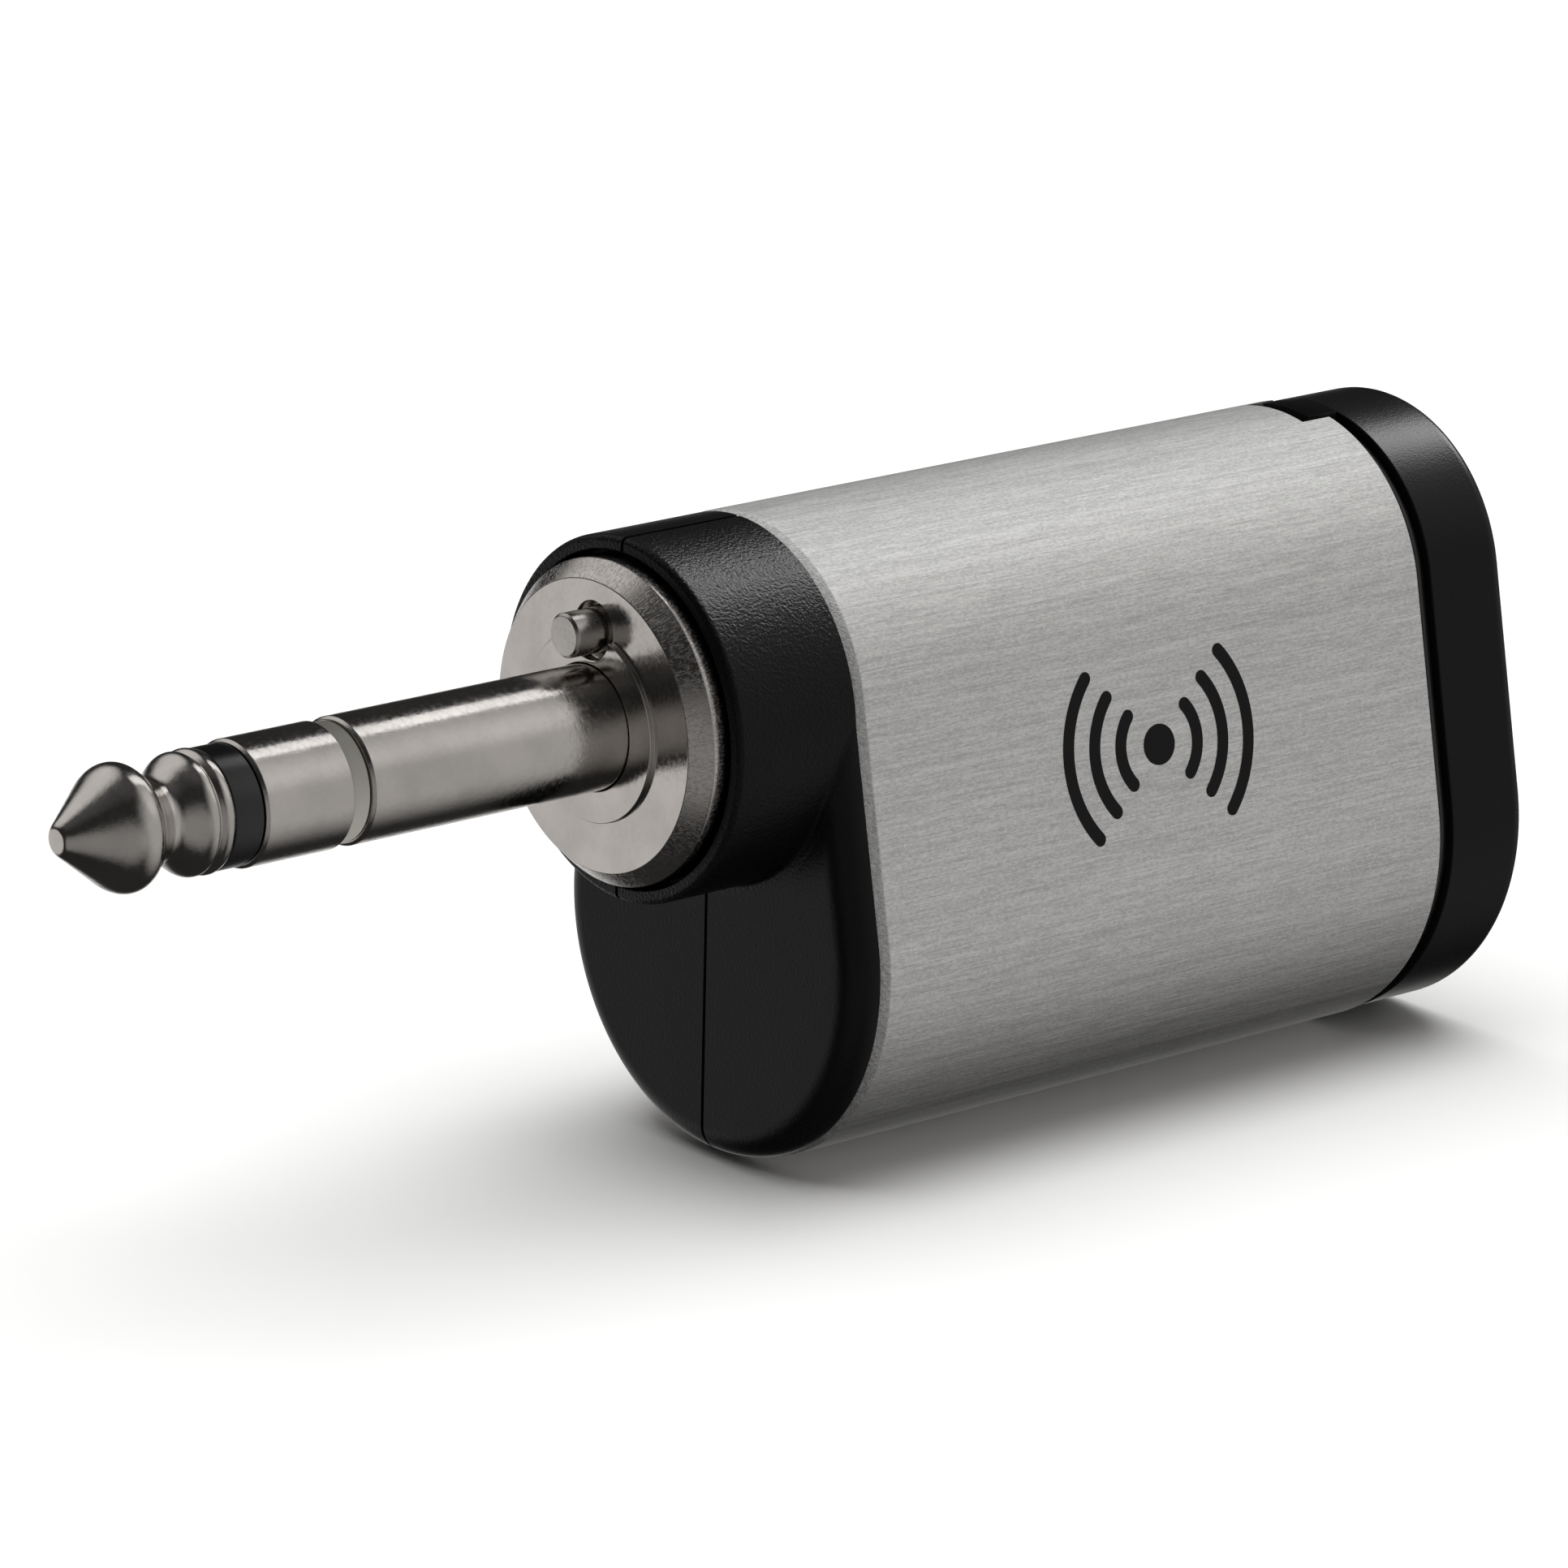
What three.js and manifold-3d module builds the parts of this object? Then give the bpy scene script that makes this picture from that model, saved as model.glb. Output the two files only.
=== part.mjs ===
// Wireless guitar transmitter: a jack plug, a split front housing, a metal body sleeve and a
// rear cap, with the electronics, the battery and the plug-in sensing pin inside.
//
// Millimetres, +Z up. The plug's axis is X and the plug points to -X. The origin is the centre
// of the shoulder plate's front face. The body's section is an egg that widens downwards: a
// small arc round the plug's axis and a larger arc below it, joined by straight sides.

import * as THREE from 'three';
import { mergeVertices } from 'three/addons/utils/BufferGeometryUtils.js';
import Module from 'manifold-3d';

const wasm = await Module();
wasm.setup();

// ---------------------------------------------------------------- driving dimensions

const ROUND = 32; // sides of a turned piece of the plug
const WIDE_ROUND = 48; // sides of the boss and the shoulder plate
const SMALL_ROUND = 16; // sides of a pin, hole or screw
const BEND_STEPS = 4; // facets of a rounded edge or a turned curve
const FIT = 0.1; // clearance between seated pieces
const SEAT_GAP = 0.05; // gap under a piece that is screwed or soldered down

// Body section
const TOP_RADIUS = 9.3;
const BOTTOM_RADIUS = 11.65;
const SECTION_DROP = 12.3; // from the small arc's centre down to the large arc's centre
const SIDE_LEAN = Math.asin((BOTTOM_RADIUS - TOP_RADIUS) / SECTION_DROP);
const HALF_TURN_POINTS = 16; // points on each arc of the section

// Metal sleeve
const SLEEVE_FRONT = 9.2;
const SLEEVE_REAR = 47.5;
const SLEEVE_WALL = 0.6;
const SLEEVE_BEVEL = 0.5; // along the sleeve, at its front edge
const SLEEVE_BEVEL_DEPTH = 0.3;
const NOTCH_FRONT = 45.5;
const NOTCH_HALF_WIDTH = 2.15;

// Front housing
const HOUSING_INSET = 0.1; // below the sleeve's outer surface
const BOSS_RADIUS = 9.28; // just outside the small arc of the housing's section
const BOSS_FRONT = 1.7;
const STEP_FACE = 7.5; // the lower front face
const STEP_ROUNDING = 1.6;
const BOSS_ROUNDING = 0.35;
const SPIGOT_REAR = 14;
const SPIGOT_INSET = SLEEVE_WALL + 0.15;
const SPIGOT_WALL = 1.3;
const SEAM = 0.16; // gap between the two halves
const RECESS_RADIUS = 8.5;
const RECESS_FLOOR = 3.3;
const NECK_BORE = 7.35;
const WALL_REAR = 5.4;
const BOSS_CAVITY = 8.15;
const POST_X = 11.3;
const POST_HEIGHTS = [-11.3, -18.8];
const POST_RADIUS = 2.45;
const POST_BORE = 1.05;
const POST_BORE_END = 5; // Y of the bore's blind end
const HEAD_WELL_RADIUS = 2;
const HOUSING_SCREW_SEAT = -6.2; // Y of the face under the screw's head

// Shoulder plate
const PLATE_RADIUS = 8.26;
const PLATE_FACE_RADIUS = 7.39;
const PLATE_BEVEL = 0.98;
const PLATE_DISC_REAR = 3;
const PLATE_NECK_RADIUS = 7.1;
const PLATE_FLANGE_FRONT = 5.7;
const PLATE_FLANGE_RADIUS = 7.9;
const PLATE_REAR = 7.4;
const PLATFORM_HEIGHT = 0.3;
const PLATFORM_RADIUS = 4.83;

// Plug, a 6.35 mm stereo jack plug
const PLUG_RADIUS = 3.175;
const PLUG_BORE_GAP = 0.175;
const TIP_END = -32.2;
const POINT_RADIUS = 0.5; // the flat on the tip's end
const CONE = [[-31.85, 0.98], [-29.9, 2.55]]; // the tip's cone, as X and radius from its front to its rear
const BALL = [-28.6, 3.155]; // the crest behind the cone
const NECK = [-26.7, 2];
const BEAD = [-25.1, 3.02];
const BEAD_GROOVE = [-24.6, 2.86];
const TIP_BACK = -24;
const TIP_BACK_RADIUS = 3;
const TIP_INSULATOR_REAR = -22.3;
const RING_FRONT = -22.2;
const RING_REAR = -17.05;
const RING_RADIUS = 3.15;
const RING_INSULATOR_REAR = -16;
const RING_INSULATOR_RADIUS = 2.98;
const SLEEVE_CONTACT_FRONT = -15.9;
const ROD_RADIUS = 0.8;
const TIP_TUBE = [0.9, 1.2]; // inner and outer radii of the nested tubes
const RING_TUBE = [1.3, 1.75];
const RING_INSULATOR_TUBE = [1.85, 2.2];
const SLEEVE_BORE = 2.3;
const ROD_REAR = 12.8;
const SLEEVE_TAIL = 9; // the sleeve contact's rear end
const STAGGER = 1; // each nested tube ends this much further back than the one round it
const BAND_GAP = 0.05; // between an insulator and the contact in front of it
const CONTACT_BEVEL = 0.15;
const INSULATOR_BEVEL = 0.05;

// Plug-in sensing pin
const PIN_HEIGHT = 4.9;
const PIN_RADIUS = 1.13;
const PIN_FRONT = -1.9;
const PIN_COLLAR = [3, 3.6];
const PIN_COLLAR_RADIUS = 1.6;
const PIN_TAIL_RADIUS = 0.7;
const PIN_TAIL_REAR = 9.4;
const PIN_GUIDE_RADIUS = 1.2;
const PIN_MOUTH_RADIUS = 1.42;
const PIN_CAVITY_RADIUS = 1.8;
const PIN_CAVITY_FRONT = 2.8;
const SPRING_RADIUS = 1.3;
const SPRING_WIRE_RADIUS = 0.15;
const SPRING_TURNS = 5;
const RETAINER_FRONT = 7.5;
const RETAINER_REAR = 8.3;
const RETAINER_HALF_WIDTH = 4.2;
const RETAINER_Z = [3.8, 6.2];
const RETAINER_SCREW_Y = 3.1;
const RETAINER_SCREW_HOLE = 0.7;
const TAPPED_DEPTH = 2.2;

// Detector switch behind the pin
const SWITCH_X = [11.6, 16];
const SWITCH_NEAR = -2.5;
const SWITCH_Z = [3, 6.5];
const SWITCH_BORE = 1;
const PLUNGER_RADIUS = 0.8;
const PLUNGER_REAR = 13.6;

// Rear frame, cap and window
const FRAME_FRONT = 42;
const FRAME_REAR = 48.4;
const FRAME_WALL = 1.25;
const CAP_FRONT = 48.5;
const CAP_REAR = 53.9;
const CAP_ROUNDING = 1;
const CAP_WALL = 1.4;
const WINDOW_FRONT = 46.3;
const WINDOW_HALF_WIDTH = 1.7;
const WINDOW_GAP = 0.2;
const LIGHT_PIPE_HALF_WIDTH = 0.8;
const LIGHT_PIPE_LOW = 5.7;
const HOOK_HEIGHT = -6; // middle of each snap hook
const HOOK_HALF_HEIGHT = 1.6;
const HOOK_Y = [7.3, 8.2]; // inner and outer faces of a hook's tongue
const HOOK_FRONT = 44.7;
const HOOK_OPENING = [44.5, 46]; // X of the opening that a hook snaps into
const HOOK_GAP = 0.3;

// Electronics
const BOARD_Y = [0.9, 1.9];
const BOARD_FRONT = 17;
const BOARD_REAR = 44.5;
const CHASSIS_Y = [-1.6, -0.6];
const CHASSIS_X = [16, 41.6];
const CHASSIS_Z = [-22.2, 8];
const CHASSIS_RIBS = [[1.3, 2.3], [-20.7, -19.7]]; // Z of the ribs above and below the battery
const RIB_DEPTH = 3;
const STANDOFF_RADIUS = 1.6;
const STANDOFF_BORE = 0.75;
const BATTERY_SIZE = [25, 5, 20.4];
const BATTERY_CENTRE = [29, -4.7, -9.2];
const BOARD_Z = [-20.5, 6];
const SWITCH_TONGUE = { front: 11.2, low: 3.4 };
const LIGHT_TONGUE = { rear: 48.2, low: 2.2, high: 5.2, shoulder: 43.5 };
const BOARD_SCREWS = [[19.5, 3.9], [39.5, -17.6]]; // X and Z
const BOARD_SCREW_HOLE = 0.85;
const SHIELD_SHEET = 0.25;
const WIRE_RADIUS = 0.4;

// ---------------------------------------------------------------- finishes

const NICKEL = { color: 0xb4ada7, roughness: 0.22, metalness: 1 };
const BRUSHED = { color: 0xb9b9b7, roughness: 0.42, metalness: 1 };
const BLACK_PLASTIC = { color: 0x17171a, roughness: 0.55, metalness: 0 };
const GLOSS_BLACK = { color: 0x0c0c0d, roughness: 0.25, metalness: 0 };
const PALE_PLASTIC = { color: 0xc9c5b8, roughness: 0.4, metalness: 0 };
const STEEL = { color: 0x9a9a9c, roughness: 0.35, metalness: 1 };
const BRASS = { color: 0xb89b5a, roughness: 0.35, metalness: 1 };
const GREEN_BOARD = { color: 0x1f5a3a, roughness: 0.5, metalness: 0 };
const CHIP = { color: 0x202022, roughness: 0.6, metalness: 0 };
const FOIL = { color: 0xc3c6c8, roughness: 0.3, metalness: 1 };
const FOAM = { color: 0x35353a, roughness: 0.95, metalness: 0 };
const RED_WIRE = { color: 0xa01c1c, roughness: 0.5, metalness: 0 };
const BLACK_WIRE = { color: 0x151515, roughness: 0.5, metalness: 0 };
const WHITE_WIRE = { color: 0xd8d8d4, roughness: 0.5, metalness: 0 };
const LED_RESIN = { color: 0xe8ecd8, roughness: 0.3, metalness: 0 };

// ---------------------------------------------------------------- solids

/** Turns a closed three.js geometry into a solid that can be joined and cut. */
function solidFrom(geometry) {
  geometry.deleteAttribute('normal');
  geometry.deleteAttribute('uv');
  const merged = mergeVertices(geometry, 1e-4);
  const corners = merged.index.array;
  const kept = [];
  for (let i = 0; i < corners.length; i += 3) {
    const [a, b, c] = [corners[i], corners[i + 1], corners[i + 2]];
    if (a !== b && b !== c && c !== a) kept.push(a, b, c);
  }
  return new wasm.Manifold(new wasm.Mesh({
    numProp: 3,
    vertProperties: new Float32Array(merged.attributes.position.array),
    triVerts: new Uint32Array(kept),
  }));
}

/** Turns a solid back into a geometry. */
function geometryFrom(solid) {
  const mesh = solid.getMesh();
  const geometry = new THREE.BufferGeometry();
  geometry.setAttribute('position', new THREE.BufferAttribute(mesh.vertProperties, 3));
  geometry.setIndex(new THREE.BufferAttribute(mesh.triVerts, 1));
  geometry.computeVertexNormals();
  return geometry;
}

/** One named piece of the assembly with its own material. */
function piece(name, solid, finish) {
  const mesh = new THREE.Mesh(geometryFrom(solid), new THREE.MeshStandardMaterial(finish));
  mesh.name = name;
  return mesh;
}

/** A box from its lowest and highest corners. */
function box(low, high) {
  const size = high.map((value, axis) => value - low[axis]);
  const geometry = new THREE.BoxGeometry(...size);
  geometry.translate(...low.map((value, axis) => value + size[axis] / 2));
  return solidFrom(geometry);
}

/** A piece turned round an axis along X. Its path runs back along its outer surface. */
function turned(path, sides = ROUND) {
  const profile = path.getPoints(BEND_STEPS).map((point) => new THREE.Vector2(point.y, point.x));
  const geometry = new THREE.LatheGeometry(profile, sides);
  geometry.rotateZ(-Math.PI / 2);
  return solidFrom(geometry);
}

/** An open path through [x, radius] corners, for a solid of revolution that meets its axis. */
function outline(corners) {
  const path = new THREE.Path();
  corners.forEach(([x, radius], i) => (i === 0 ? path.moveTo(x, radius) : path.lineTo(x, radius)));
  return path;
}

/** A closed path through [x, radius] corners, for a ring or a tube. */
function ringOutline(corners) {
  return outline([...corners, corners[0]]);
}

/** A plain cylinder along X, or along Y when it is turned. */
function cylinder(radius, from, to, { y = 0, z = 0, sides = SMALL_ROUND } = {}) {
  return turned(outline([[from, 0], [from, radius], [to, radius], [to, 0]]), sides).translate(0, y, z);
}

/** A plain cylinder along Y through the point x, z. */
function crossCylinder(radius, from, to, { x, z, sides = SMALL_ROUND }) {
  const geometry = new THREE.CylinderGeometry(radius, radius, to - from, sides);
  geometry.translate(x, (from + to) / 2, z);
  return solidFrom(geometry);
}

/** The corners of the body's section, drawn in by an inset, anticlockwise seen from the rear. */
function sectionCorners(inset) {
  const corners = [];
  for (let i = 0; i <= HALF_TURN_POINTS; i += 1) {
    const angle = SIDE_LEAN + (Math.PI - 2 * SIDE_LEAN) * (i / HALF_TURN_POINTS);
    const radius = TOP_RADIUS - inset;
    corners.push([radius * Math.cos(angle), radius * Math.sin(angle)]);
  }
  for (let i = 0; i <= HALF_TURN_POINTS; i += 1) {
    const angle = Math.PI - SIDE_LEAN + (Math.PI + 2 * SIDE_LEAN) * (i / HALF_TURN_POINTS);
    const radius = BOTTOM_RADIUS - inset;
    corners.push([radius * Math.cos(angle), radius * Math.sin(angle) - SECTION_DROP]);
  }
  return corners;
}

/** A solid with the body's section, through [x, inset] stations from front to rear. */
function bodySolid(stations) {
  const positions = [];
  const indices = [];
  const count = sectionCorners(0).length;
  for (const [x, inset] of stations) {
    for (const [y, z] of sectionCorners(inset)) positions.push(x, y, z);
  }
  for (let station = 0; station < stations.length - 1; station += 1) {
    for (let i = 0; i < count; i += 1) {
      const next = (i + 1) % count;
      const [a, b] = [station * count + i, station * count + next];
      indices.push(a, b, b + count, a, b + count, a + count);
    }
  }
  const frontCentre = positions.length / 3;
  const rearCentre = frontCentre + 1;
  const middle = -SECTION_DROP / 2;
  positions.push(stations[0][0], 0, middle, stations[stations.length - 1][0], 0, middle);
  const lastRing = (stations.length - 1) * count;
  for (let i = 0; i < count; i += 1) {
    const next = (i + 1) % count;
    indices.push(frontCentre, next, i, rearCentre, lastRing + i, lastRing + next);
  }
  const geometry = new THREE.BufferGeometry();
  geometry.setAttribute('position', new THREE.Float32BufferAttribute(positions, 3));
  geometry.setIndex(indices);
  return solidFrom(geometry);
}

/** Stations of a rounded front edge that starts at a face and ends at an inset. */
function roundedFront(face, inset, radius) {
  return Array.from({ length: BEND_STEPS + 1 }, (_, i) => {
    const angle = (i / BEND_STEPS) * (Math.PI / 2);
    return [face + radius * (1 - Math.cos(angle)), inset + radius * (1 - Math.sin(angle))];
  });
}

/** Stations of a rounded rear edge that starts at an inset and ends at a face. */
function roundedRear(face, inset, radius) {
  return roundedFront(-face, inset, radius).map(([x, depth]) => [-x, depth]).reverse();
}

/** A flat plate with an outline in X and Z, between two values of Y. */
function sidePlate(corners, [near, far]) {
  const shape = new THREE.Shape(corners.map(([x, z]) => new THREE.Vector2(x, z)));
  const geometry = new THREE.ExtrudeGeometry(shape, { depth: far - near, bevelEnabled: false });
  geometry.rotateX(Math.PI / 2);
  geometry.translate(0, far, 0);
  return solidFrom(geometry);
}

/** A flat plate with an outline in Y and Z, between two values of X. */
function endPlate(corners, [front, rear]) {
  const shape = new THREE.Shape(corners.map(([y, z]) => new THREE.Vector2(y, z)));
  const geometry = new THREE.ExtrudeGeometry(shape, { depth: rear - front, bevelEnabled: false });
  const [toY, toZ, toX] = [[0, 1, 0], [0, 0, 1], [1, 0, 0]].map((axis) => new THREE.Vector3(...axis));
  geometry.applyMatrix4(new THREE.Matrix4().makeBasis(toY, toZ, toX));
  geometry.translate(front, 0, 0);
  return solidFrom(geometry);
}

/** A round wire along a curve. */
function wire(curve, radius, steps, sides = 8) {
  const shape = new THREE.Shape().absarc(0, 0, radius, 0, 2 * Math.PI);
  const curveSegments = sides / 2; // an arc takes twice as many sides as it is asked for
  const geometry = new THREE.ExtrudeGeometry(shape, { extrudePath: curve, steps, curveSegments });
  return solidFrom(geometry);
}

/** A cross-recessed screw along X, with the face under its head at zero and its end at +X. */
function screw({ shank, length, head, headHeight }) {
  const crown = head * 0.6; // radius of the head's flat top
  const point = shank * 0.3;
  const body = turned(outline([
    [-headHeight, 0], [-headHeight, crown], [-headHeight / 2, head], [0, head], [0, shank],
    [length - shank, shank], [length, point], [length, 0],
  ]), SMALL_ROUND);
  const slot = { long: head / 2, wide: head * 0.12, deep: headHeight * 0.6 };
  const front = -headHeight - FIT;
  const across = box([front, -slot.long, -slot.wide], [-headHeight + slot.deep, slot.long, slot.wide]);
  const upright = box([front, -slot.wide, -slot.long], [-headHeight + slot.deep, slot.wide, slot.long]);
  return body.subtract(across.add(upright));
}

// ---------------------------------------------------------------- the plug

/** The tip contact: pointed ball, neck, bead and the rod that runs back through the plug. */
function plugTip() {
  const path = new THREE.Path();
  path.moveTo(TIP_END, 0);
  path.lineTo(TIP_END, POINT_RADIUS);
  path.quadraticCurveTo(TIP_END, 0.72, ...CONE[0]);
  path.lineTo(...CONE[1]);
  path.bezierCurveTo(-29.35, 3.05, -28.95, PLUG_RADIUS, ...BALL);
  path.bezierCurveTo(-27.8, 3.1, -27.45, 2.1, ...NECK);
  path.bezierCurveTo(-26.1, 1.95, -25.7, 2.95, ...BEAD);
  path.quadraticCurveTo(-24.8, 3.08, ...BEAD_GROOVE);
  path.quadraticCurveTo(-24.35, 3.12, TIP_BACK, TIP_BACK_RADIUS);
  path.lineTo(TIP_BACK, ROD_RADIUS);
  path.lineTo(ROD_REAR, ROD_RADIUS);
  path.lineTo(ROD_REAR, 0);
  return turned(path);
}

/** A visible band of the plug with a thin tube that carries it back through the plug. */
function plugBand({ front, rear, radius, bevel, tube, tail }) {
  return turned(ringOutline([
    [front, tube[0]], [front, radius - bevel], [front + bevel, radius], [rear, radius],
    [rear, tube[1]], [tail, tube[1]], [tail, tube[0]],
  ]));
}

/** The sleeve contact, the plug's long barrel. */
function plugSleeve() {
  return turned(ringOutline([
    [SLEEVE_CONTACT_FRONT, SLEEVE_BORE], [SLEEVE_CONTACT_FRONT, PLUG_RADIUS - CONTACT_BEVEL],
    [SLEEVE_CONTACT_FRONT + CONTACT_BEVEL, PLUG_RADIUS], [SLEEVE_TAIL, PLUG_RADIUS], [SLEEVE_TAIL, SLEEVE_BORE],
  ]));
}

/** A solder lug: a washer round a contact with a tag that points away at an angle. */
function solderLug({ x, bore, radius, tag, angle }) {
  const thickness = 0.3;
  const halfWidth = 0.7;
  const hole = 0.35;
  const washer = cylinder(radius, x, x + thickness, { sides: ROUND })
    .add(box([x, -halfWidth, -tag], [x + thickness, halfWidth, -bore]))
    .subtract(cylinder(bore, x - 1, x + 1, { sides: ROUND }))
    .subtract(cylinder(hole, x - 1, x + 1, { z: -tag + 2 * hole }));
  return washer.rotate(angle, 0, 0);
}

/** The shoulder plate, with its raised platform, the pin's guide and the groove for the housing. */
function shoulderPlate() {
  const bore = PLUG_RADIUS + PLUG_BORE_GAP;
  const disc = turned(ringOutline([
    [-PLATFORM_HEIGHT, bore], [-PLATFORM_HEIGHT, PLATFORM_RADIUS], [0, PLATFORM_RADIUS],
    [0, PLATE_FACE_RADIUS], [PLATE_BEVEL, PLATE_RADIUS], [PLATE_DISC_REAR, PLATE_RADIUS],
    [PLATE_DISC_REAR, PLATE_NECK_RADIUS], [PLATE_FLANGE_FRONT, PLATE_NECK_RADIUS],
    [PLATE_FLANGE_FRONT, PLATE_FLANGE_RADIUS], [PLATE_REAR, PLATE_FLANGE_RADIUS], [PLATE_REAR, bore],
  ]), WIDE_ROUND);
  const mouthDepth = 0.3;
  const pinBore = turned(outline([
    [-1, 0], [-1, PIN_MOUTH_RADIUS], [mouthDepth, PIN_MOUTH_RADIUS], [2 * mouthDepth, PIN_GUIDE_RADIUS],
    [PIN_CAVITY_FRONT, PIN_GUIDE_RADIUS], [PIN_CAVITY_FRONT, PIN_CAVITY_RADIUS],
    [PLATE_REAR + 1, PIN_CAVITY_RADIUS], [PLATE_REAR + 1, 0],
  ]), SMALL_ROUND).translate(0, 0, PIN_HEIGHT);
  let plate = disc.subtract(pinBore);
  for (const side of [-1, 1]) {
    const place = { y: side * RETAINER_SCREW_Y, z: PIN_HEIGHT };
    plate = plate.subtract(cylinder(RETAINER_SCREW_HOLE, PLATE_REAR - TAPPED_DEPTH, PLATE_REAR + 1, place));
  }
  return plate;
}

function plugPieces() {
  return [
    piece('plug_tip', plugTip(), NICKEL),
    piece('tip_insulator', plugBand({
      front: TIP_BACK + BAND_GAP, rear: TIP_INSULATOR_REAR, radius: TIP_BACK_RADIUS, bevel: INSULATOR_BEVEL,
      tube: TIP_TUBE, tail: ROD_REAR - STAGGER,
    }), GLOSS_BLACK),
    piece('ring_contact', plugBand({
      front: RING_FRONT, rear: RING_REAR, radius: RING_RADIUS, bevel: CONTACT_BEVEL, tube: RING_TUBE,
      tail: ROD_REAR - 2 * STAGGER,
    }), NICKEL),
    piece('ring_insulator', plugBand({
      front: RING_REAR + BAND_GAP, rear: RING_INSULATOR_REAR, radius: RING_INSULATOR_RADIUS,
      bevel: INSULATOR_BEVEL, tube: RING_INSULATOR_TUBE, tail: ROD_REAR - 3 * STAGGER,
    }), PALE_PLASTIC),
    piece('plug_sleeve', plugSleeve(), NICKEL),
    piece('shoulder_plate', shoulderPlate(), NICKEL),
    piece('tip_lug', solderLug({ x: 12.1, bore: ROD_RADIUS + FIT, radius: 1.6, tag: 3.6, angle: 60 }), BRASS),
    piece('ring_lug', solderLug({ x: 10.1, bore: RING_TUBE[1] + FIT, radius: 2.7, tag: 4.4, angle: 30 }), BRASS),
    piece('sleeve_lug', solderLug({ x: 8.4, bore: PLUG_RADIUS + FIT, radius: 3.95, tag: 6.2, angle: 0 }), BRASS),
  ];
}

// ---------------------------------------------------------------- the sensing pin

/** A helix along X, for the pin's return spring. */
class SpringCurve extends THREE.Curve {
  getPoint(t, target = new THREE.Vector3()) {
    const margin = SPRING_WIRE_RADIUS + FIT;
    const front = PIN_COLLAR[1] + margin;
    const rear = RETAINER_FRONT - margin;
    const angle = 2 * Math.PI * SPRING_TURNS * t;
    const [y, z] = [SPRING_RADIUS * Math.cos(angle), SPRING_RADIUS * Math.sin(angle)];
    return target.set(front + (rear - front) * t, y, PIN_HEIGHT + z);
  }
}

function sensePin() {
  const bevel = 0.1;
  return turned(outline([
    [PIN_FRONT, 0], [PIN_FRONT, PIN_RADIUS - bevel], [PIN_FRONT + bevel, PIN_RADIUS],
    [PIN_COLLAR[0], PIN_RADIUS], [PIN_COLLAR[0], PIN_COLLAR_RADIUS], [PIN_COLLAR[1], PIN_COLLAR_RADIUS],
    [PIN_COLLAR[1], PIN_TAIL_RADIUS], [PIN_TAIL_REAR, PIN_TAIL_RADIUS], [PIN_TAIL_REAR, 0],
  ]), SMALL_ROUND).translate(0, 0, PIN_HEIGHT);
}

/** The plate that keeps the pin and its spring in the shoulder plate. */
function pinRetainer() {
  const [low, high] = RETAINER_Z;
  let plate = box([RETAINER_FRONT, -RETAINER_HALF_WIDTH, low], [RETAINER_REAR, RETAINER_HALF_WIDTH, high]);
  const tailGap = 0.15;
  const screwHoles = [-1, 1].map((side) => [side * RETAINER_SCREW_Y, RETAINER_SCREW_HOLE]);
  for (const [y, radius] of [[0, PIN_TAIL_RADIUS + tailGap], ...screwHoles]) {
    plate = plate.subtract(cylinder(radius, RETAINER_FRONT - 1, RETAINER_REAR + 1, { y, z: PIN_HEIGHT }));
  }
  return plate;
}

/** The detector switch behind the pin, with an open bore for its plunger. */
function senseSwitch() {
  const [front, rear] = SWITCH_X;
  const [low, high] = SWITCH_Z;
  const backWall = 0.5;
  const body = box([front, SWITCH_NEAR, low], [rear, BOARD_Y[0] - SEAT_GAP, high]);
  return body.subtract(cylinder(SWITCH_BORE, front - 0.6, rear - backWall, { z: PIN_HEIGHT }));
}

function switchPlunger() {
  const gap = 0.3;
  return cylinder(PLUNGER_RADIUS, PIN_TAIL_REAR + gap, PLUNGER_REAR, { z: PIN_HEIGHT });
}

function sensingPieces() {
  const spring = wire(new SpringCurve(), SPRING_WIRE_RADIUS, 12 * SPRING_TURNS, 6);
  const small = screw({ shank: 0.6, length: 2.6, head: 0.95, headHeight: 0.6 });
  const screws = [-1, 1].map((side) => {
    const place = [RETAINER_REAR + SEAT_GAP, side * RETAINER_SCREW_Y, PIN_HEIGHT];
    const name = side < 0 ? 'retainer_screw_left' : 'retainer_screw_right';
    return piece(name, small.rotate(0, 0, 180).translate(...place), STEEL);
  });
  return [
    piece('sense_pin', sensePin(), NICKEL),
    piece('pin_spring', spring, STEEL),
    piece('pin_retainer', pinRetainer(), STEEL),
    ...screws,
    piece('sense_switch', senseSwitch(), CHIP),
    piece('switch_plunger', switchPlunger(), PALE_PLASTIC),
  ];
}

// ---------------------------------------------------------------- the casing

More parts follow.
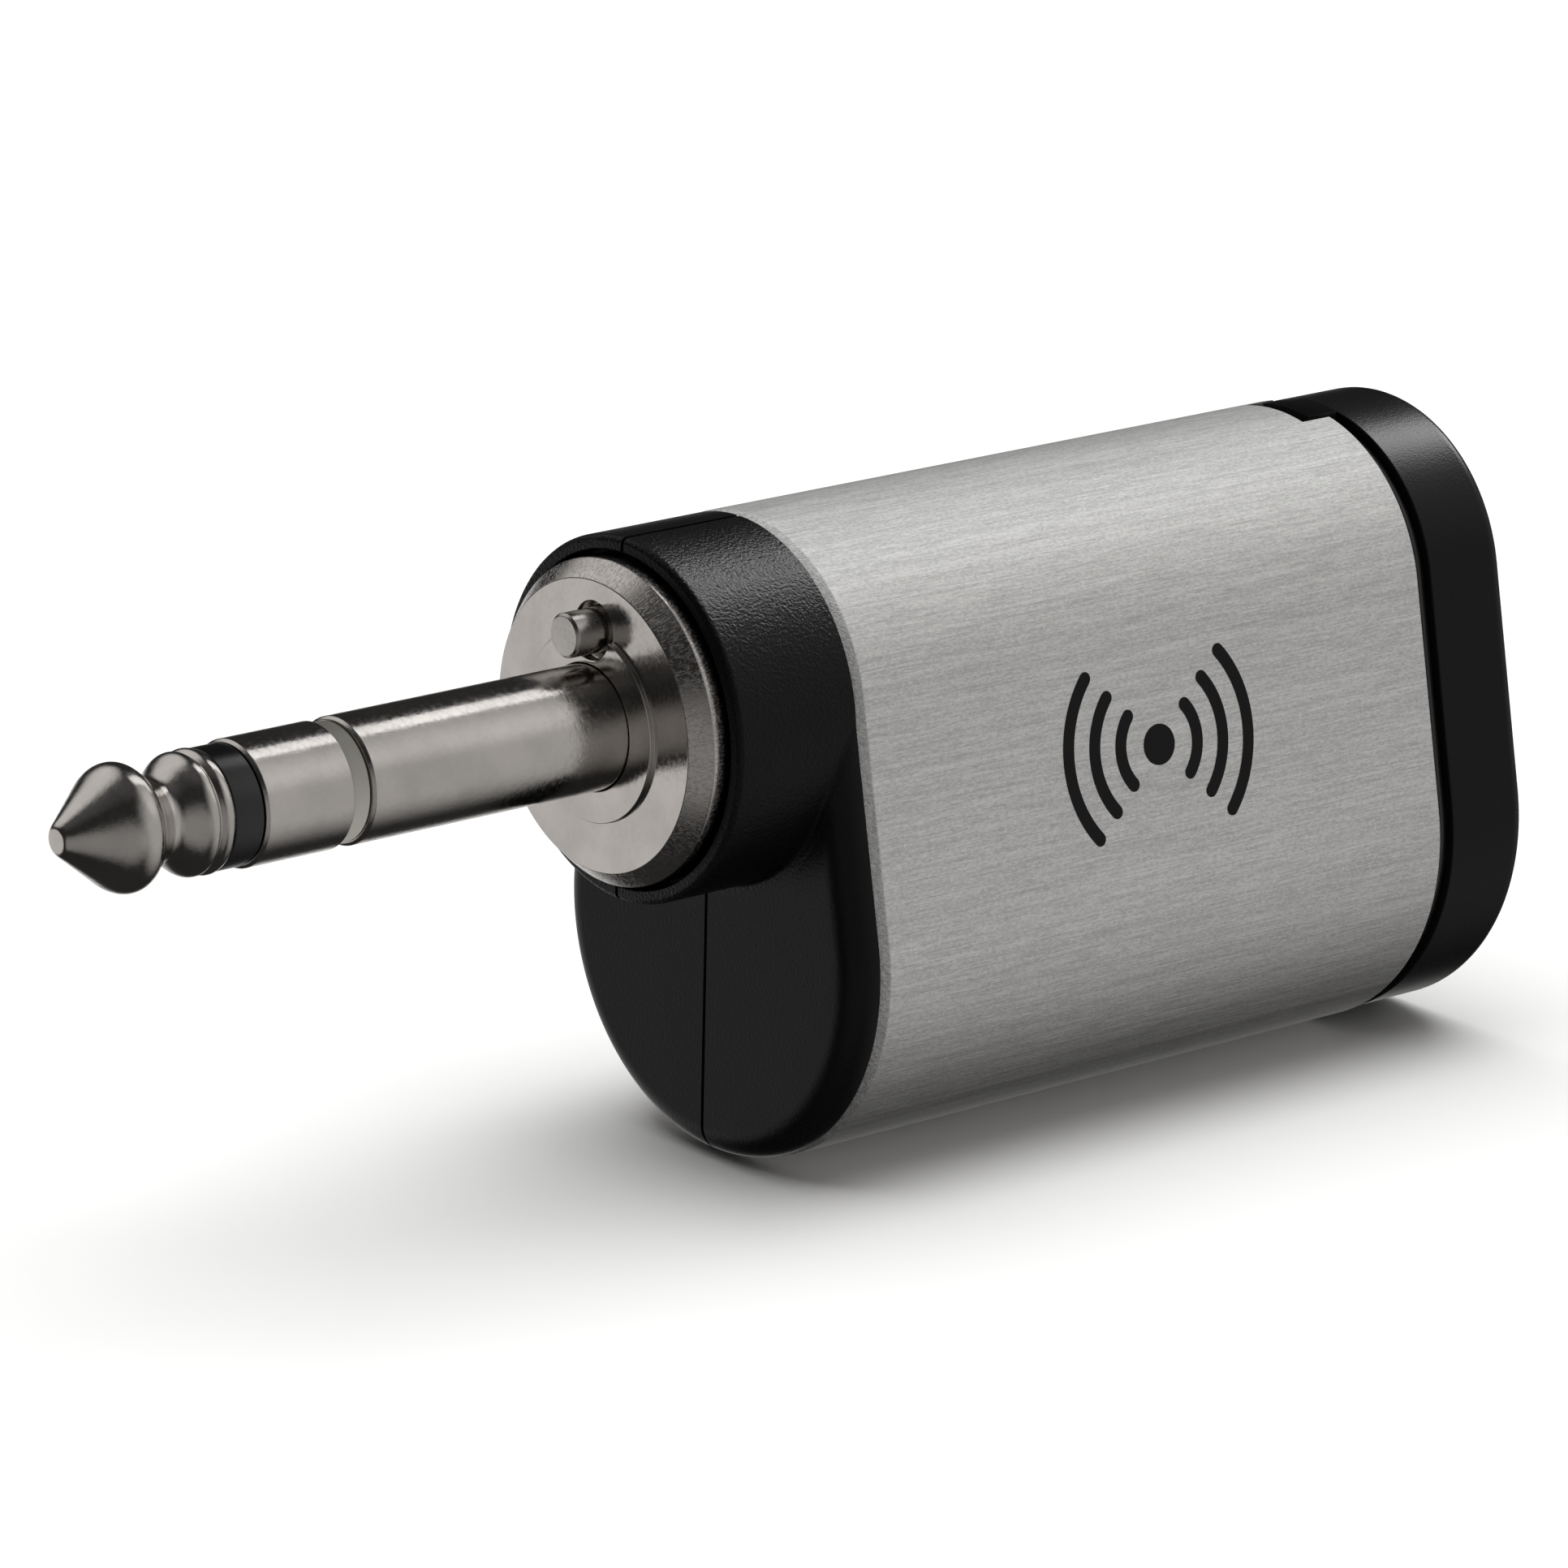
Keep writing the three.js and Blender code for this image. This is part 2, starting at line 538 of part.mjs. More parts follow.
/** The whole front housing before it is split along its middle. */
function frontHousing() {
  const boss = turned(outline([
    [BOSS_FRONT, 0], [BOSS_FRONT, BOSS_RADIUS - BOSS_ROUNDING], [BOSS_FRONT + BOSS_ROUNDING, BOSS_RADIUS],
    [SLEEVE_FRONT - FIT, BOSS_RADIUS], [SLEEVE_FRONT - FIT, 0],
  ]), WIDE_ROUND);
  const rear = SLEEVE_FRONT - FIT;
  const flange = bodySolid(roundedFront(STEP_FACE, HOUSING_INSET, STEP_ROUNDING));
  const spigot = bodySolid([[rear - 0.5, SPIGOT_INSET], [SPIGOT_REAR, SPIGOT_INSET]]);
  const outside = boss.add(flange).add(spigot);
  const recess = turned(outline([
    [0, 0], [0, RECESS_RADIUS], [RECESS_FLOOR, RECESS_RADIUS], [RECESS_FLOOR, NECK_BORE],
    [WALL_REAR, NECK_BORE], [WALL_REAR, BOSS_CAVITY], [rear + 1, BOSS_CAVITY], [rear + 1, 0],
  ]), WIDE_ROUND);
  const innerInset = SPIGOT_INSET + SPIGOT_WALL;
  const cavity = bodySolid([[rear, innerInset], [SPIGOT_REAR + 1, innerInset]]);
  let housing = outside.subtract(recess).subtract(cavity);
  for (const z of POST_HEIGHTS) {
    const post = crossCylinder(POST_RADIUS, -BOTTOM_RADIUS, BOTTOM_RADIUS, { x: POST_X, z });
    const hollow = crossCylinder(POST_BORE, HOUSING_SCREW_SEAT - 1, POST_BORE_END, { x: POST_X, z });
    const headWell = crossCylinder(HEAD_WELL_RADIUS, -BOTTOM_RADIUS, HOUSING_SCREW_SEAT, { x: POST_X, z });
    housing = housing.add(post.intersect(spigot)).subtract(hollow).subtract(headWell);
  }
  return housing;
}

/** One half of the front housing: side -1 is the left half, 1 the right one. */
function housingHalf(housing, side) {
  const beyond = 20; // past the housing on every side
  const [near, far] = side < 0 ? [-beyond, -SEAM / 2] : [SEAM / 2, beyond];
  return housing.intersect(box([0, near, -SECTION_DROP - beyond], [beyond, far, beyond]));
}

/** The brushed metal sleeve, with a bevelled front edge and a notch in its rear top edge. */
function metalTube() {
  const rearBevel = 0.1;
  const outside = bodySolid([
    [SLEEVE_FRONT, SLEEVE_BEVEL_DEPTH], [SLEEVE_FRONT + SLEEVE_BEVEL, 0], [SLEEVE_REAR - rearBevel, 0],
    [SLEEVE_REAR, rearBevel],
  ]);
  const inside = bodySolid([[SLEEVE_FRONT - 1, SLEEVE_WALL], [SLEEVE_REAR + 1, SLEEVE_WALL]]);
  const notch = box([NOTCH_FRONT, -NOTCH_HALF_WIDTH, 0], [SLEEVE_REAR + 1, NOTCH_HALF_WIDTH, TOP_RADIUS + 1]);
  return outside.subtract(inside).subtract(notch);
}

/** The inner frame in the sleeve's rear end, with the window's slot and two hook openings. */
function rearFrame() {
  const outside = bodySolid([[FRAME_FRONT, SPIGOT_INSET], [FRAME_REAR, SPIGOT_INSET]]);
  const inset = SPIGOT_INSET + FRAME_WALL;
  const inside = bodySolid([[FRAME_FRONT - 1, inset], [FRAME_REAR + 1, inset]]);
  const halfSlot = WINDOW_HALF_WIDTH + WINDOW_GAP;
  const slot = box([WINDOW_FRONT - WINDOW_GAP, -halfSlot, 0], [FRAME_REAR + 1, halfSlot, TOP_RADIUS]);
  const [front, rear] = HOOK_OPENING;
  const halfHeight = HOOK_HALF_HEIGHT + HOOK_GAP;
  const across = 2 * BOTTOM_RADIUS;
  const hooks = box([front, -across, HOOK_HEIGHT - halfHeight], [rear, across, HOOK_HEIGHT + halfHeight]);
  return outside.subtract(inside).subtract(slot).subtract(hooks);
}

/** One snap hook of the cap: a root on the cap's wall, a tongue and a barb that faces outwards. */
function capHook() {
  const [inner, outer] = HOOK_Y;
  const root = { front: CAP_FRONT + 0.2, rear: CAP_FRONT + 2, outer: 9.6 };
  const barb = { rear: HOOK_OPENING[1] - FIT, outer: 9.1, nose: outer + 0.2 };
  const corners = [
    [HOOK_FRONT, inner], [root.rear, inner], [root.rear, root.outer], [root.front, root.outer],
    [root.front, outer], [barb.rear, outer], [barb.rear, barb.outer], [HOOK_FRONT, barb.nose],
  ];
  const shape = new THREE.Shape(corners.map(([x, y]) => new THREE.Vector2(x, y)));
  const geometry = new THREE.ExtrudeGeometry(shape, { depth: 2 * HOOK_HALF_HEIGHT, bevelEnabled: false });
  geometry.translate(0, 0, HOOK_HEIGHT - HOOK_HALF_HEIGHT);
  return solidFrom(geometry);
}

/** The rear cap, hollow towards the frame, with a snap hook on each side. */
function rearCap() {
  const outside = bodySolid([[CAP_FRONT, HOUSING_INSET], ...roundedRear(CAP_REAR, HOUSING_INSET, CAP_ROUNDING)]);
  const innerInset = HOUSING_INSET + CAP_WALL;
  const inside = bodySolid([[CAP_FRONT - 1, innerInset], [CAP_REAR - CAP_WALL, innerInset]]);
  const hook = capHook();
  return outside.subtract(inside).add(hook).add(hook.mirror([0, 1, 0]));
}

/** The status window, flush with the cap in the sleeve's notch, with its light pipe below. */
function statusWindow() {
  const rear = CAP_FRONT - 0.15;
  const step = 0.4; // the light pipe is this much shorter at each end
  const headLow = 7;
  const pipeHigh = headLow + 0.5;
  const head = box([WINDOW_FRONT, -WINDOW_HALF_WIDTH, headLow], [rear, WINDOW_HALF_WIDTH, TOP_RADIUS + 1]);
  const pipe = box([WINDOW_FRONT + step, -LIGHT_PIPE_HALF_WIDTH, LIGHT_PIPE_LOW],
    [rear - step, LIGHT_PIPE_HALF_WIDTH, pipeHigh]);
  const curved = cylinder(BOSS_RADIUS, WINDOW_FRONT - 1, rear + 1, { sides: 2 * WIDE_ROUND });
  return head.add(pipe).intersect(curved);
}

function casingPieces() {
  const housing = frontHousing();
  const long = screw({ shank: 0.95, length: 10, head: 1.8, headHeight: 1.2 });
  const screws = POST_HEIGHTS.map((z, i) => {
    const seated = long.rotate(0, 0, 90).translate(POST_X, HOUSING_SCREW_SEAT - SEAT_GAP, z);
    return piece(`housing_screw_${i + 1}`, seated, STEEL);
  });
  return [
    piece('front_housing_left', housingHalf(housing, -1), BLACK_PLASTIC),
    piece('front_housing_right', housingHalf(housing, 1), BLACK_PLASTIC),
    ...screws,
    piece('metal_tube', metalTube(), BRUSHED),
    piece('rear_frame', rearFrame(), GLOSS_BLACK),
    piece('rear_cap', rearCap(), BLACK_PLASTIC),
    piece('status_window', statusWindow(), GLOSS_BLACK),
  ];
}

// ---------------------------------------------------------------- the electronics

/** The carrier between battery and board, with ribs for the battery and board standoffs. */
function innerChassis() {
  const [front, rear] = CHASSIS_X;
  const [near, far] = CHASSIS_Y;
  const rooted = 0.5; // how far a rib or standoff runs into the carrier
  let chassis = box([front, near, CHASSIS_Z[0]], [rear, far, CHASSIS_Z[1]]);
  for (const [low, high] of CHASSIS_RIBS) {
    chassis = chassis.add(box([front, near - RIB_DEPTH, low], [rear, near + rooted, high]));
  }
  for (const [x, z] of BOARD_SCREWS) {
    const post = crossCylinder(STANDOFF_RADIUS, far - rooted, BOARD_Y[0] - SEAT_GAP, { x, z });
    chassis = chassis.add(post).subtract(crossCylinder(STANDOFF_BORE, near - 1, BOARD_Y[0] + 1, { x, z }));
  }
  return chassis;
}

/** The circuit board, with a tongue for the switch in front and one for the light behind. */
function mainBoard() {
  const [low, high] = BOARD_Z;
  const corners = [
    [BOARD_FRONT, low], [BOARD_REAR, low], [BOARD_REAR, LIGHT_TONGUE.low],
    [LIGHT_TONGUE.rear, LIGHT_TONGUE.low], [LIGHT_TONGUE.rear, LIGHT_TONGUE.high], [LIGHT_TONGUE.shoulder, LIGHT_TONGUE.high],
    [LIGHT_TONGUE.shoulder, high], [BOARD_FRONT, high], [SWITCH_TONGUE.front, high],
    [SWITCH_TONGUE.front, SWITCH_TONGUE.low], [BOARD_FRONT, SWITCH_TONGUE.low],
  ];
  let board = sidePlate(corners, BOARD_Y);
  for (const [x, z] of BOARD_SCREWS) {
    board = board.subtract(crossCylinder(BOARD_SCREW_HOLE, BOARD_Y[0] - 1, BOARD_Y[1] + 1, { x, z }));
  }
  return board;
}

/** A block that sits on the board's outer face. */
function onBoard([x0, z0], [x1, z1], height) {
  const seat = BOARD_Y[1] + SEAT_GAP;
  return box([x0, seat, z0], [x1, seat + height, z1]);
}

/** The radio's shield, a five-sided can that is open towards the board. */
function rfShield() {
  const [front, low] = [29, -8];
  const [rear, high] = [42, 4];
  const height = 2.2;
  const seat = BOARD_Y[1] + SEAT_GAP;
  const hollow = box([front + SHIELD_SHEET, seat - 1, low + SHIELD_SHEET],
    [rear - SHIELD_SHEET, seat + height - SHIELD_SHEET, high - SHIELD_SHEET]);
  return onBoard([front, low], [rear, high], height).subtract(hollow);
}

/** The antenna: a strip in the plastic cap with a leg that reaches back to the board. */
function antennaElement() {
  const width = 1.4;
  const [near, far] = [-4.2, 2.8];
  const [low, high] = [-17, 3];
  const [front, rear] = [50.4, 50.7];
  const strip = endPlate([
    [near, low], [far, low], [far, low + width], [near + width, low + width],
    [near + width, high - width], [far, high - width], [far, high], [near, high],
  ], [front, rear]);
  const leg = { front: 43.2, near: 2.2, far: 2.6, low: -16.8, high: -15.8 };
  return strip.add(box([leg.front, leg.near, leg.low], [front + FIT, leg.far, leg.high]));
}

/** The flat pouch cell, with softened edges. */
function batteryCell() {
  const [length, thickness, height] = BATTERY_SIZE;
  const bevel = 0.8;
  const shape = new THREE.Shape([
    new THREE.Vector2(-length / 2 + bevel, -height / 2 + bevel),
    new THREE.Vector2(length / 2 - bevel, -height / 2 + bevel),
    new THREE.Vector2(length / 2 - bevel, height / 2 - bevel),
    new THREE.Vector2(-length / 2 + bevel, height / 2 - bevel),
  ]);
  const geometry = new THREE.ExtrudeGeometry(shape, {
    depth: thickness - 2 * bevel, bevelThickness: bevel, bevelSize: bevel, bevelSegments: 3,
  });
  geometry.translate(0, 0, -thickness / 2 + bevel);
  geometry.rotateX(Math.PI / 2);
  geometry.translate(...BATTERY_CENTRE);
  return solidFrom(geometry);
}

/** An insulated lead through hand-placed points. */
function lead(points, steps = 14) {
  const curve = new THREE.CatmullRomCurve3(points.map((point) => new THREE.Vector3(...point)));
  return wire(curve, WIRE_RADIUS, steps);
}

function leadPieces() {
  return [
    piece('tip_lead', lead([
      [12.7, 3, -1.9], [14, 3.6, -2.2], [16, 3.4, -2.4], [18.2, 2.6, -2.6],
    ]), WHITE_WIRE),
    piece('ring_lead', lead([
      [10.9, 2, -3.6], [13, 2.9, -4.4], [15.6, 3.2, -4.8], [18.2, 2.6, -5],
    ]), RED_WIRE),
    piece('sleeve_lead', lead([
      [9.2, 0.2, -5.6], [12, 1.6, -6.4], [15.4, 3, -7.2], [18.2, 2.6, -7.4],
    ]), BLACK_WIRE),
    piece('battery_lead_positive', lead([
      [15, -4.4, -6], [14.9, -3.4, -8], [14.9, 0, -11.5], [15.3, 3, -13.6], [17.9, 3.8, -14.4],
    ]), RED_WIRE),
    piece('battery_lead_negative', lead([
      [15, -4.4, -8], [14.9, -3.4, -10], [14.9, 0, -13.5], [15.3, 3, -15.6], [17.9, 3.8, -16.4],
    ]), BLACK_WIRE),
  ];
}

function electronicPieces() {
  const [length, thickness, height] = BATTERY_SIZE;
  const [cellX, cellY, cellZ] = BATTERY_CENTRE;
  const cellBack = cellY + thickness / 2;
  const pad = box([cellX - length / 3, cellBack + FIT, cellZ - height / 3],
    [cellX + length / 3, CHASSIS_Y[0] - FIT, cellZ + height / 3]);
  const protection = box([15.5, -5.6, -10.5], [16.2, -3.6, -3.5]); // on the cell's front edge
  const small = screw({ shank: 0.7, length: 3, head: 1.4, headHeight: 0.9 });
  const screws = BOARD_SCREWS.map(([x, z], i) => {
    const seated = small.rotate(0, 0, -90).translate(x, BOARD_Y[1] + SEAT_GAP, z);
    return piece(`board_screw_${i + 1}`, seated, STEEL);
  });
  return [
    piece('inner_chassis', innerChassis(), BLACK_PLASTIC),
    piece('main_board', mainBoard(), GREEN_BOARD),
    ...screws,
    piece('rf_shield', rfShield(), STEEL),
    piece('controller_chip', onBoard([22, -7], [27, -2], 0.9), CHIP),
    piece('charger_chip', onBoard([21.5, -12.5], [24.5, -9.5], 0.8), CHIP),
    piece('crystal', onBoard([23, 0], [26.2, 2.5], 0.8), STEEL),
    piece('power_inductor', onBoard([26, -14], [30, -10], 1.8), CHIP),
    piece('battery_connector', onBoard([18.2, -18], [22, -13], 3), PALE_PLASTIC),
    piece('status_led', box([46.8, -0.4, 4.1], [48, BOARD_Y[0] - SEAT_GAP, LIGHT_TONGUE.high]), LED_RESIN),
    piece('antenna', antennaElement(), BRASS),
    piece('battery', batteryCell(), FOIL),
    piece('battery_pad', pad, FOAM),
    piece('protection_board', protection, GREEN_BOARD),
    ...leadPieces(),
  ];
}

// ---------------------------------------------------------------- the assembly

const transmitter = new THREE.Group();
transmitter.add(...plugPieces(), ...sensingPieces(), ...casingPieces(), ...electronicPieces());

export default transmitter;
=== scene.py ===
"""Finished looks of a plug-in wireless guitar transmitter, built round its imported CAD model.

The classes below build finer meshes for the pieces that show, print a plain radio mark on the
sleeve, and give every piece a worked finish. Sizes are in millimetres, and are turned into the
frame's metres where a mesh is made. The plug's axis is X, its tip points to -X and +Z is up.
"""

import logging
import math
from dataclasses import dataclass, field
from enum import Enum

import bmesh
import bpy
from mathutils import Matrix, Vector


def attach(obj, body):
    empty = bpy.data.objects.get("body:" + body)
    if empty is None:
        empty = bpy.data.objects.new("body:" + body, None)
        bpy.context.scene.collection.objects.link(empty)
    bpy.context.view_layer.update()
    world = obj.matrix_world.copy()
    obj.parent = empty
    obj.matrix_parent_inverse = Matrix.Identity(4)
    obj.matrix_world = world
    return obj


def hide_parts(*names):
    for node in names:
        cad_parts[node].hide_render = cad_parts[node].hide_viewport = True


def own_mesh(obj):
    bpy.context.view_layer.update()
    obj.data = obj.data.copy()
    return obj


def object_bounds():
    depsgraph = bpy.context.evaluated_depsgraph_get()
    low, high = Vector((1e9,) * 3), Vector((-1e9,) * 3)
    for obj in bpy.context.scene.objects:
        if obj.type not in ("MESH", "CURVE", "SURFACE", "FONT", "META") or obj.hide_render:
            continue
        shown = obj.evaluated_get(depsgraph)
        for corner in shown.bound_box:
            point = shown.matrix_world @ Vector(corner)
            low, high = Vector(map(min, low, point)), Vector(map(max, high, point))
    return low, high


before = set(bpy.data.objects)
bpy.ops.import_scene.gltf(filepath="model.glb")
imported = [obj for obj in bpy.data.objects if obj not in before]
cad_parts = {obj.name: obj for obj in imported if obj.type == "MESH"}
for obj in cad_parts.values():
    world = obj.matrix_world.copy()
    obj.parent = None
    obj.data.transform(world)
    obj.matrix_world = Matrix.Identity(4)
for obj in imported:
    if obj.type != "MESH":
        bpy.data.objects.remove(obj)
CAD_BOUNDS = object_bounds()

LOG = logging.getLogger("transmitter")
MM = 0.001
BEYOND = 20.0  # farther than any side of the casing, for cutting blocks

Point = tuple[float, float]
Place = tuple[float, float, float]
Colour = tuple[float, float, float]


# ---------------------------------------------------------------- shader maths


class Value:
    """A socket that carries a number, so that shader maths reads as Python."""

    def __init__(self, graph: "Graph", socket: bpy.types.NodeSocket) -> None:
        """Wraps a socket.

        Args:
            graph: The graph that the socket is in.
            socket: The socket that carries the number.
        """
        self.graph = graph
        self.socket = socket

    def maths(self, operation: str, *others: "Value | float", reflected: bool = False) -> "Value":
        """Adds one Math node.

        Args:
            operation: The Math node's operation.
            others: The other numbers that it works on.
            reflected: True if this value is the second number.

        Returns:
            The node's result.
        """
        numbers = (*others, self) if reflected else (self, *others)
        node = self.graph.node("ShaderNodeMath", {"operation": operation}, dict(enumerate(numbers)))
        return Value(self.graph, node.outputs[0])

    def __add__(self, other: "Value | float") -> "Value":
        """Adds."""
        return self.maths("ADD", other)

    def __radd__(self, other: float) -> "Value":
        """Adds, reflected."""
        return self.maths("ADD", other)

    def __sub__(self, other: "Value | float") -> "Value":
        """Subtracts."""
        return self.maths("SUBTRACT", other)

    def __rsub__(self, other: float) -> "Value":
        """Subtracts, reflected."""
        return self.maths("SUBTRACT", other, reflected=True)

    def __mul__(self, other: "Value | float") -> "Value":
        """Multiplies."""
        return self.maths("MULTIPLY", other)

    def __rmul__(self, other: float) -> "Value":
        """Multiplies, reflected."""
        return self.maths("MULTIPLY", other)

    def __lt__(self, other: "Value | float") -> "Value":
        """Is 1 where this value is the smaller, and 0 elsewhere."""
        return self.maths("LESS_THAN", other)

    def __gt__(self, other: "Value | float") -> "Value":
        """Is 1 where this value is the larger, and 0 elsewhere."""
        return self.maths("GREATER_THAN", other)

    def step(self, low: float, high: float) -> "Value":
        """Rises smoothly from 0 to 1.

        Args:
            low: Where the rise starts.
            high: Where the rise ends.

        Returns:
            The clamped value.
        """
        inputs = {"Value": self, "From Min": low, "From Max": high}
        node = self.graph.node("ShaderNodeMapRange", {"interpolation_type": "SMOOTHSTEP"}, inputs)
        return Value(self.graph, node.outputs[0])


class Graph:
    """A material's nodes, added one call at a time."""

    def __init__(self, material: bpy.types.Material) -> None:
        """Empties a material's node tree.

        Args:
            material: The material to fill.
        """
        material.use_nodes = True
        self.tree = material.node_tree
        self.tree.nodes.clear()

    def node(self, kind: str, settings: dict | None = None, inputs: dict | None = None) -> bpy.types.Node:
        """Adds a node, sets it up and feeds its sockets.

        Args:
            kind: The node's type.
            settings: The node's properties.
            inputs: A value, a socket or a plain setting for each input socket.

        Returns:
            The new node.
        """
        made = self.tree.nodes.new(kind)
        for name, setting in (settings or {}).items():
            setattr(made, name, setting)
        for name, given in (inputs or {}).items():
            self.feed(made.inputs[name], given)
        return made

    def feed(self, socket: bpy.types.NodeSocket, given: object) -> None:
        """Links or sets one input socket.

        Args:
            socket: The input socket.
            given: A value or a socket to link, or a plain setting.
        """
        if isinstance(given, Value):
            self.tree.links.new(given.socket, socket)
        elif isinstance(given, bpy.types.NodeSocket):
            self.tree.links.new(given, socket)
        elif isinstance(given, tuple) and len(given) == 3 and socket.type == "RGBA":
            socket.default_value = (*given, 1.0)
        else:
            socket.default_value = given

    def place(self) -> tuple[Value, Value, Value]:
        """Gives the place on the piece in millimetres, as three values."""
        where = self.node("ShaderNodeTexCoord").outputs["Object"]
        parts = self.node("ShaderNodeSeparateXYZ", inputs={0: where}).outputs
        return tuple(Value(self, part) * (1 / MM) for part in parts)

    def noise(self, x: Value, y: Value, z: Value, detail: float = 2.0, rough: float = 0.5) -> Value:
        """Adds a noise texture.

        Args:
            x: The first coordinate, one unit to a grain.
            y: The second coordinate.
            z: The third coordinate.
            detail: The octaves of finer noise.
            rough: How strong the finer octaves are.

        Returns:
            The noise, from 0 to 1 round 0.5.
        """
        where = self.node("ShaderNodeCombineXYZ", inputs={0: x, 1: y, 2: z}).outputs[0]
        inputs = {"Vector": where, "Scale": 1.0, "Detail": detail, "Roughness": rough}
        return Value(self, self.node("ShaderNodeTexNoise", inputs=inputs).outputs[0])

    def cells(self, x: Value, y: Value, z: Value) -> Value:
        """Adds a cell texture.

        Args:
            x: The first coordinate, one unit to a cell.
            y: The second coordinate.
            z: The third coordinate.

        Returns:
            The distance from the middle of the nearest cell.
        """
        where = self.node("ShaderNodeCombineXYZ", inputs={0: x, 1: y, 2: z}).outputs[0]
        node = self.node("ShaderNodeTexVoronoi", inputs={"Vector": where, "Scale": 1.0})
        return Value(self, node.outputs[0])

    def blend(self, factor: Value, low: object, high: object) -> bpy.types.NodeSocket:
        """Mixes two colours.

        Args:
            factor: 0 for the first colour and 1 for the second.
            low: The first colour.
            high: The second colour.

        Returns:
            The mixed colour's socket.
        """
        node = self.node("ShaderNodeMix", {"data_type": "RGBA"}, {0: factor, 6: low, 7: high})
        return node.outputs[2]

    def bump(self, height: Value, depth: float) -> bpy.types.NodeSocket:
        """Turns a height into a normal.

        Args:
            height: The height, from 0 to 1.
            depth: The depth of a height of 1, in millimetres.

        Returns:
            The normal's socket.
        """
        return self.node("ShaderNodeBump", inputs={"Distance": depth * MM, "Height": height}).outputs[0]


def darker(colour: Colour, share: float) -> Colour:
    """Scales a colour.

    Args:
        colour: The colour.
        share: The share of its brightness to keep.

    Returns:
        The scaled colour.
    """
    return tuple(share * part for part in colour)


# ---------------------------------------------------------------- finishes


@dataclass(frozen=True)
class Finish:
    """A finish: a name, a colour and the shader settings that are the same all over.

    Attributes:
        name: The material's name.
        colour: The main colour.
        rough: The mean roughness.
        metal: 1 for a metal and 0 for anything else.
        sheen: The shader's specular level, 0.5 for most materials.
    """

    name: str
    colour: Colour
    rough: float
    metal: float = 0.0
    sheen: float = 0.5

    def worked(self, graph: Graph) -> dict[str, object]:
        """Gives what changes over the surface.

        Args:
            graph: The material's nodes.

        Returns:
            A value or a socket for each of the shader's inputs that it feeds.
        """
        x, y, z = graph.place()
        return {"Roughness": self.rough + 0.1 * (graph.noise(x, y, z) - 0.5)}

    def material(self) -> bpy.types.Material:
        """Makes the material, or finds it if it is already made."""
        title = f"{self.name}_finish"
        found = bpy.data.materials.get(title)
        if found:
            return found
        made = bpy.data.materials.new(title)
        graph = Graph(made)
        steady = {
            "Base Color": self.colour, "Roughness": self.rough, "Metallic": self.metal,
            "Specular IOR Level": self.sheen,
        }
        inputs = {**steady, **self.extra(), **self.worked(graph)}
        shader = graph.node("ShaderNodeBsdfPrincipled", inputs=inputs)
        graph.node("ShaderNodeOutputMaterial", inputs={"Surface": shader.outputs[0]})
        return made

    def extra(self) -> dict[str, object]:
        """Gives further steady settings of the shader."""
        return {}


@dataclass(frozen=True)
class PlatedMetal(Finish):
    """Polished plate over turned brass: fine rings round an axis along X, with pitting and haze.

    Attributes:
        axis_height: The height of the turning axis above the plug's axis.
        ring: The width of a turning mark.
        ring_depth: The depth of the turning marks.
        pit: The size of the pitting's grain.
        pit_depth: The depth of the pitting.
        scratched_radius: The distance from the axis beyond which there are hair scratches.
    """

    axis_height: float = 0.0
    ring: float = 0.05
    ring_depth: float = 0.0004
    pit: float = 0.24
    pit_depth: float = 0.007
    scratched_radius: float = 40.0

    def worked(self, graph: Graph) -> dict[str, object]:
        """Gives the turning marks, the pitting and the haze."""
        x, y, z = graph.place()
        lifted = z - self.axis_height
        radius = (y * y + lifted * lifted).maths("POWER", 0.5)
        turn = y.maths("ARCTAN2", lifted)
        rings = graph.noise(x * (1 / self.ring), radius * (1 / self.ring), turn * 0.6, detail=1)
        grain = 1 / self.pit
        pits = graph.noise(x * grain, y * grain, z * grain, detail=3, rough=0.62)
        haze = graph.noise(x * 0.35, y * 0.35, z * 0.35, detail=3)
        hairs = graph.noise(turn * 80.0, radius * 4, x * 4, detail=3, rough=0.8)
        edge = radius.step(self.scratched_radius - 0.15, self.scratched_radius)
        height = pits * self.pit_depth + rings * self.ring_depth + edge * (hairs.step(0.5, 0.65) * 0.005)
        marks = pits.step(0.36, 0.7)
        return {
            "Base Color": graph.blend(haze.step(0.3, 0.75), self.colour, darker(self.colour, 0.86)),
            "Roughness": self.rough + 0.1 * marks + 0.06 * (rings - 0.5) + 0.04 * (haze - 0.5),
            "Normal": graph.bump(height, 1.0),
        }


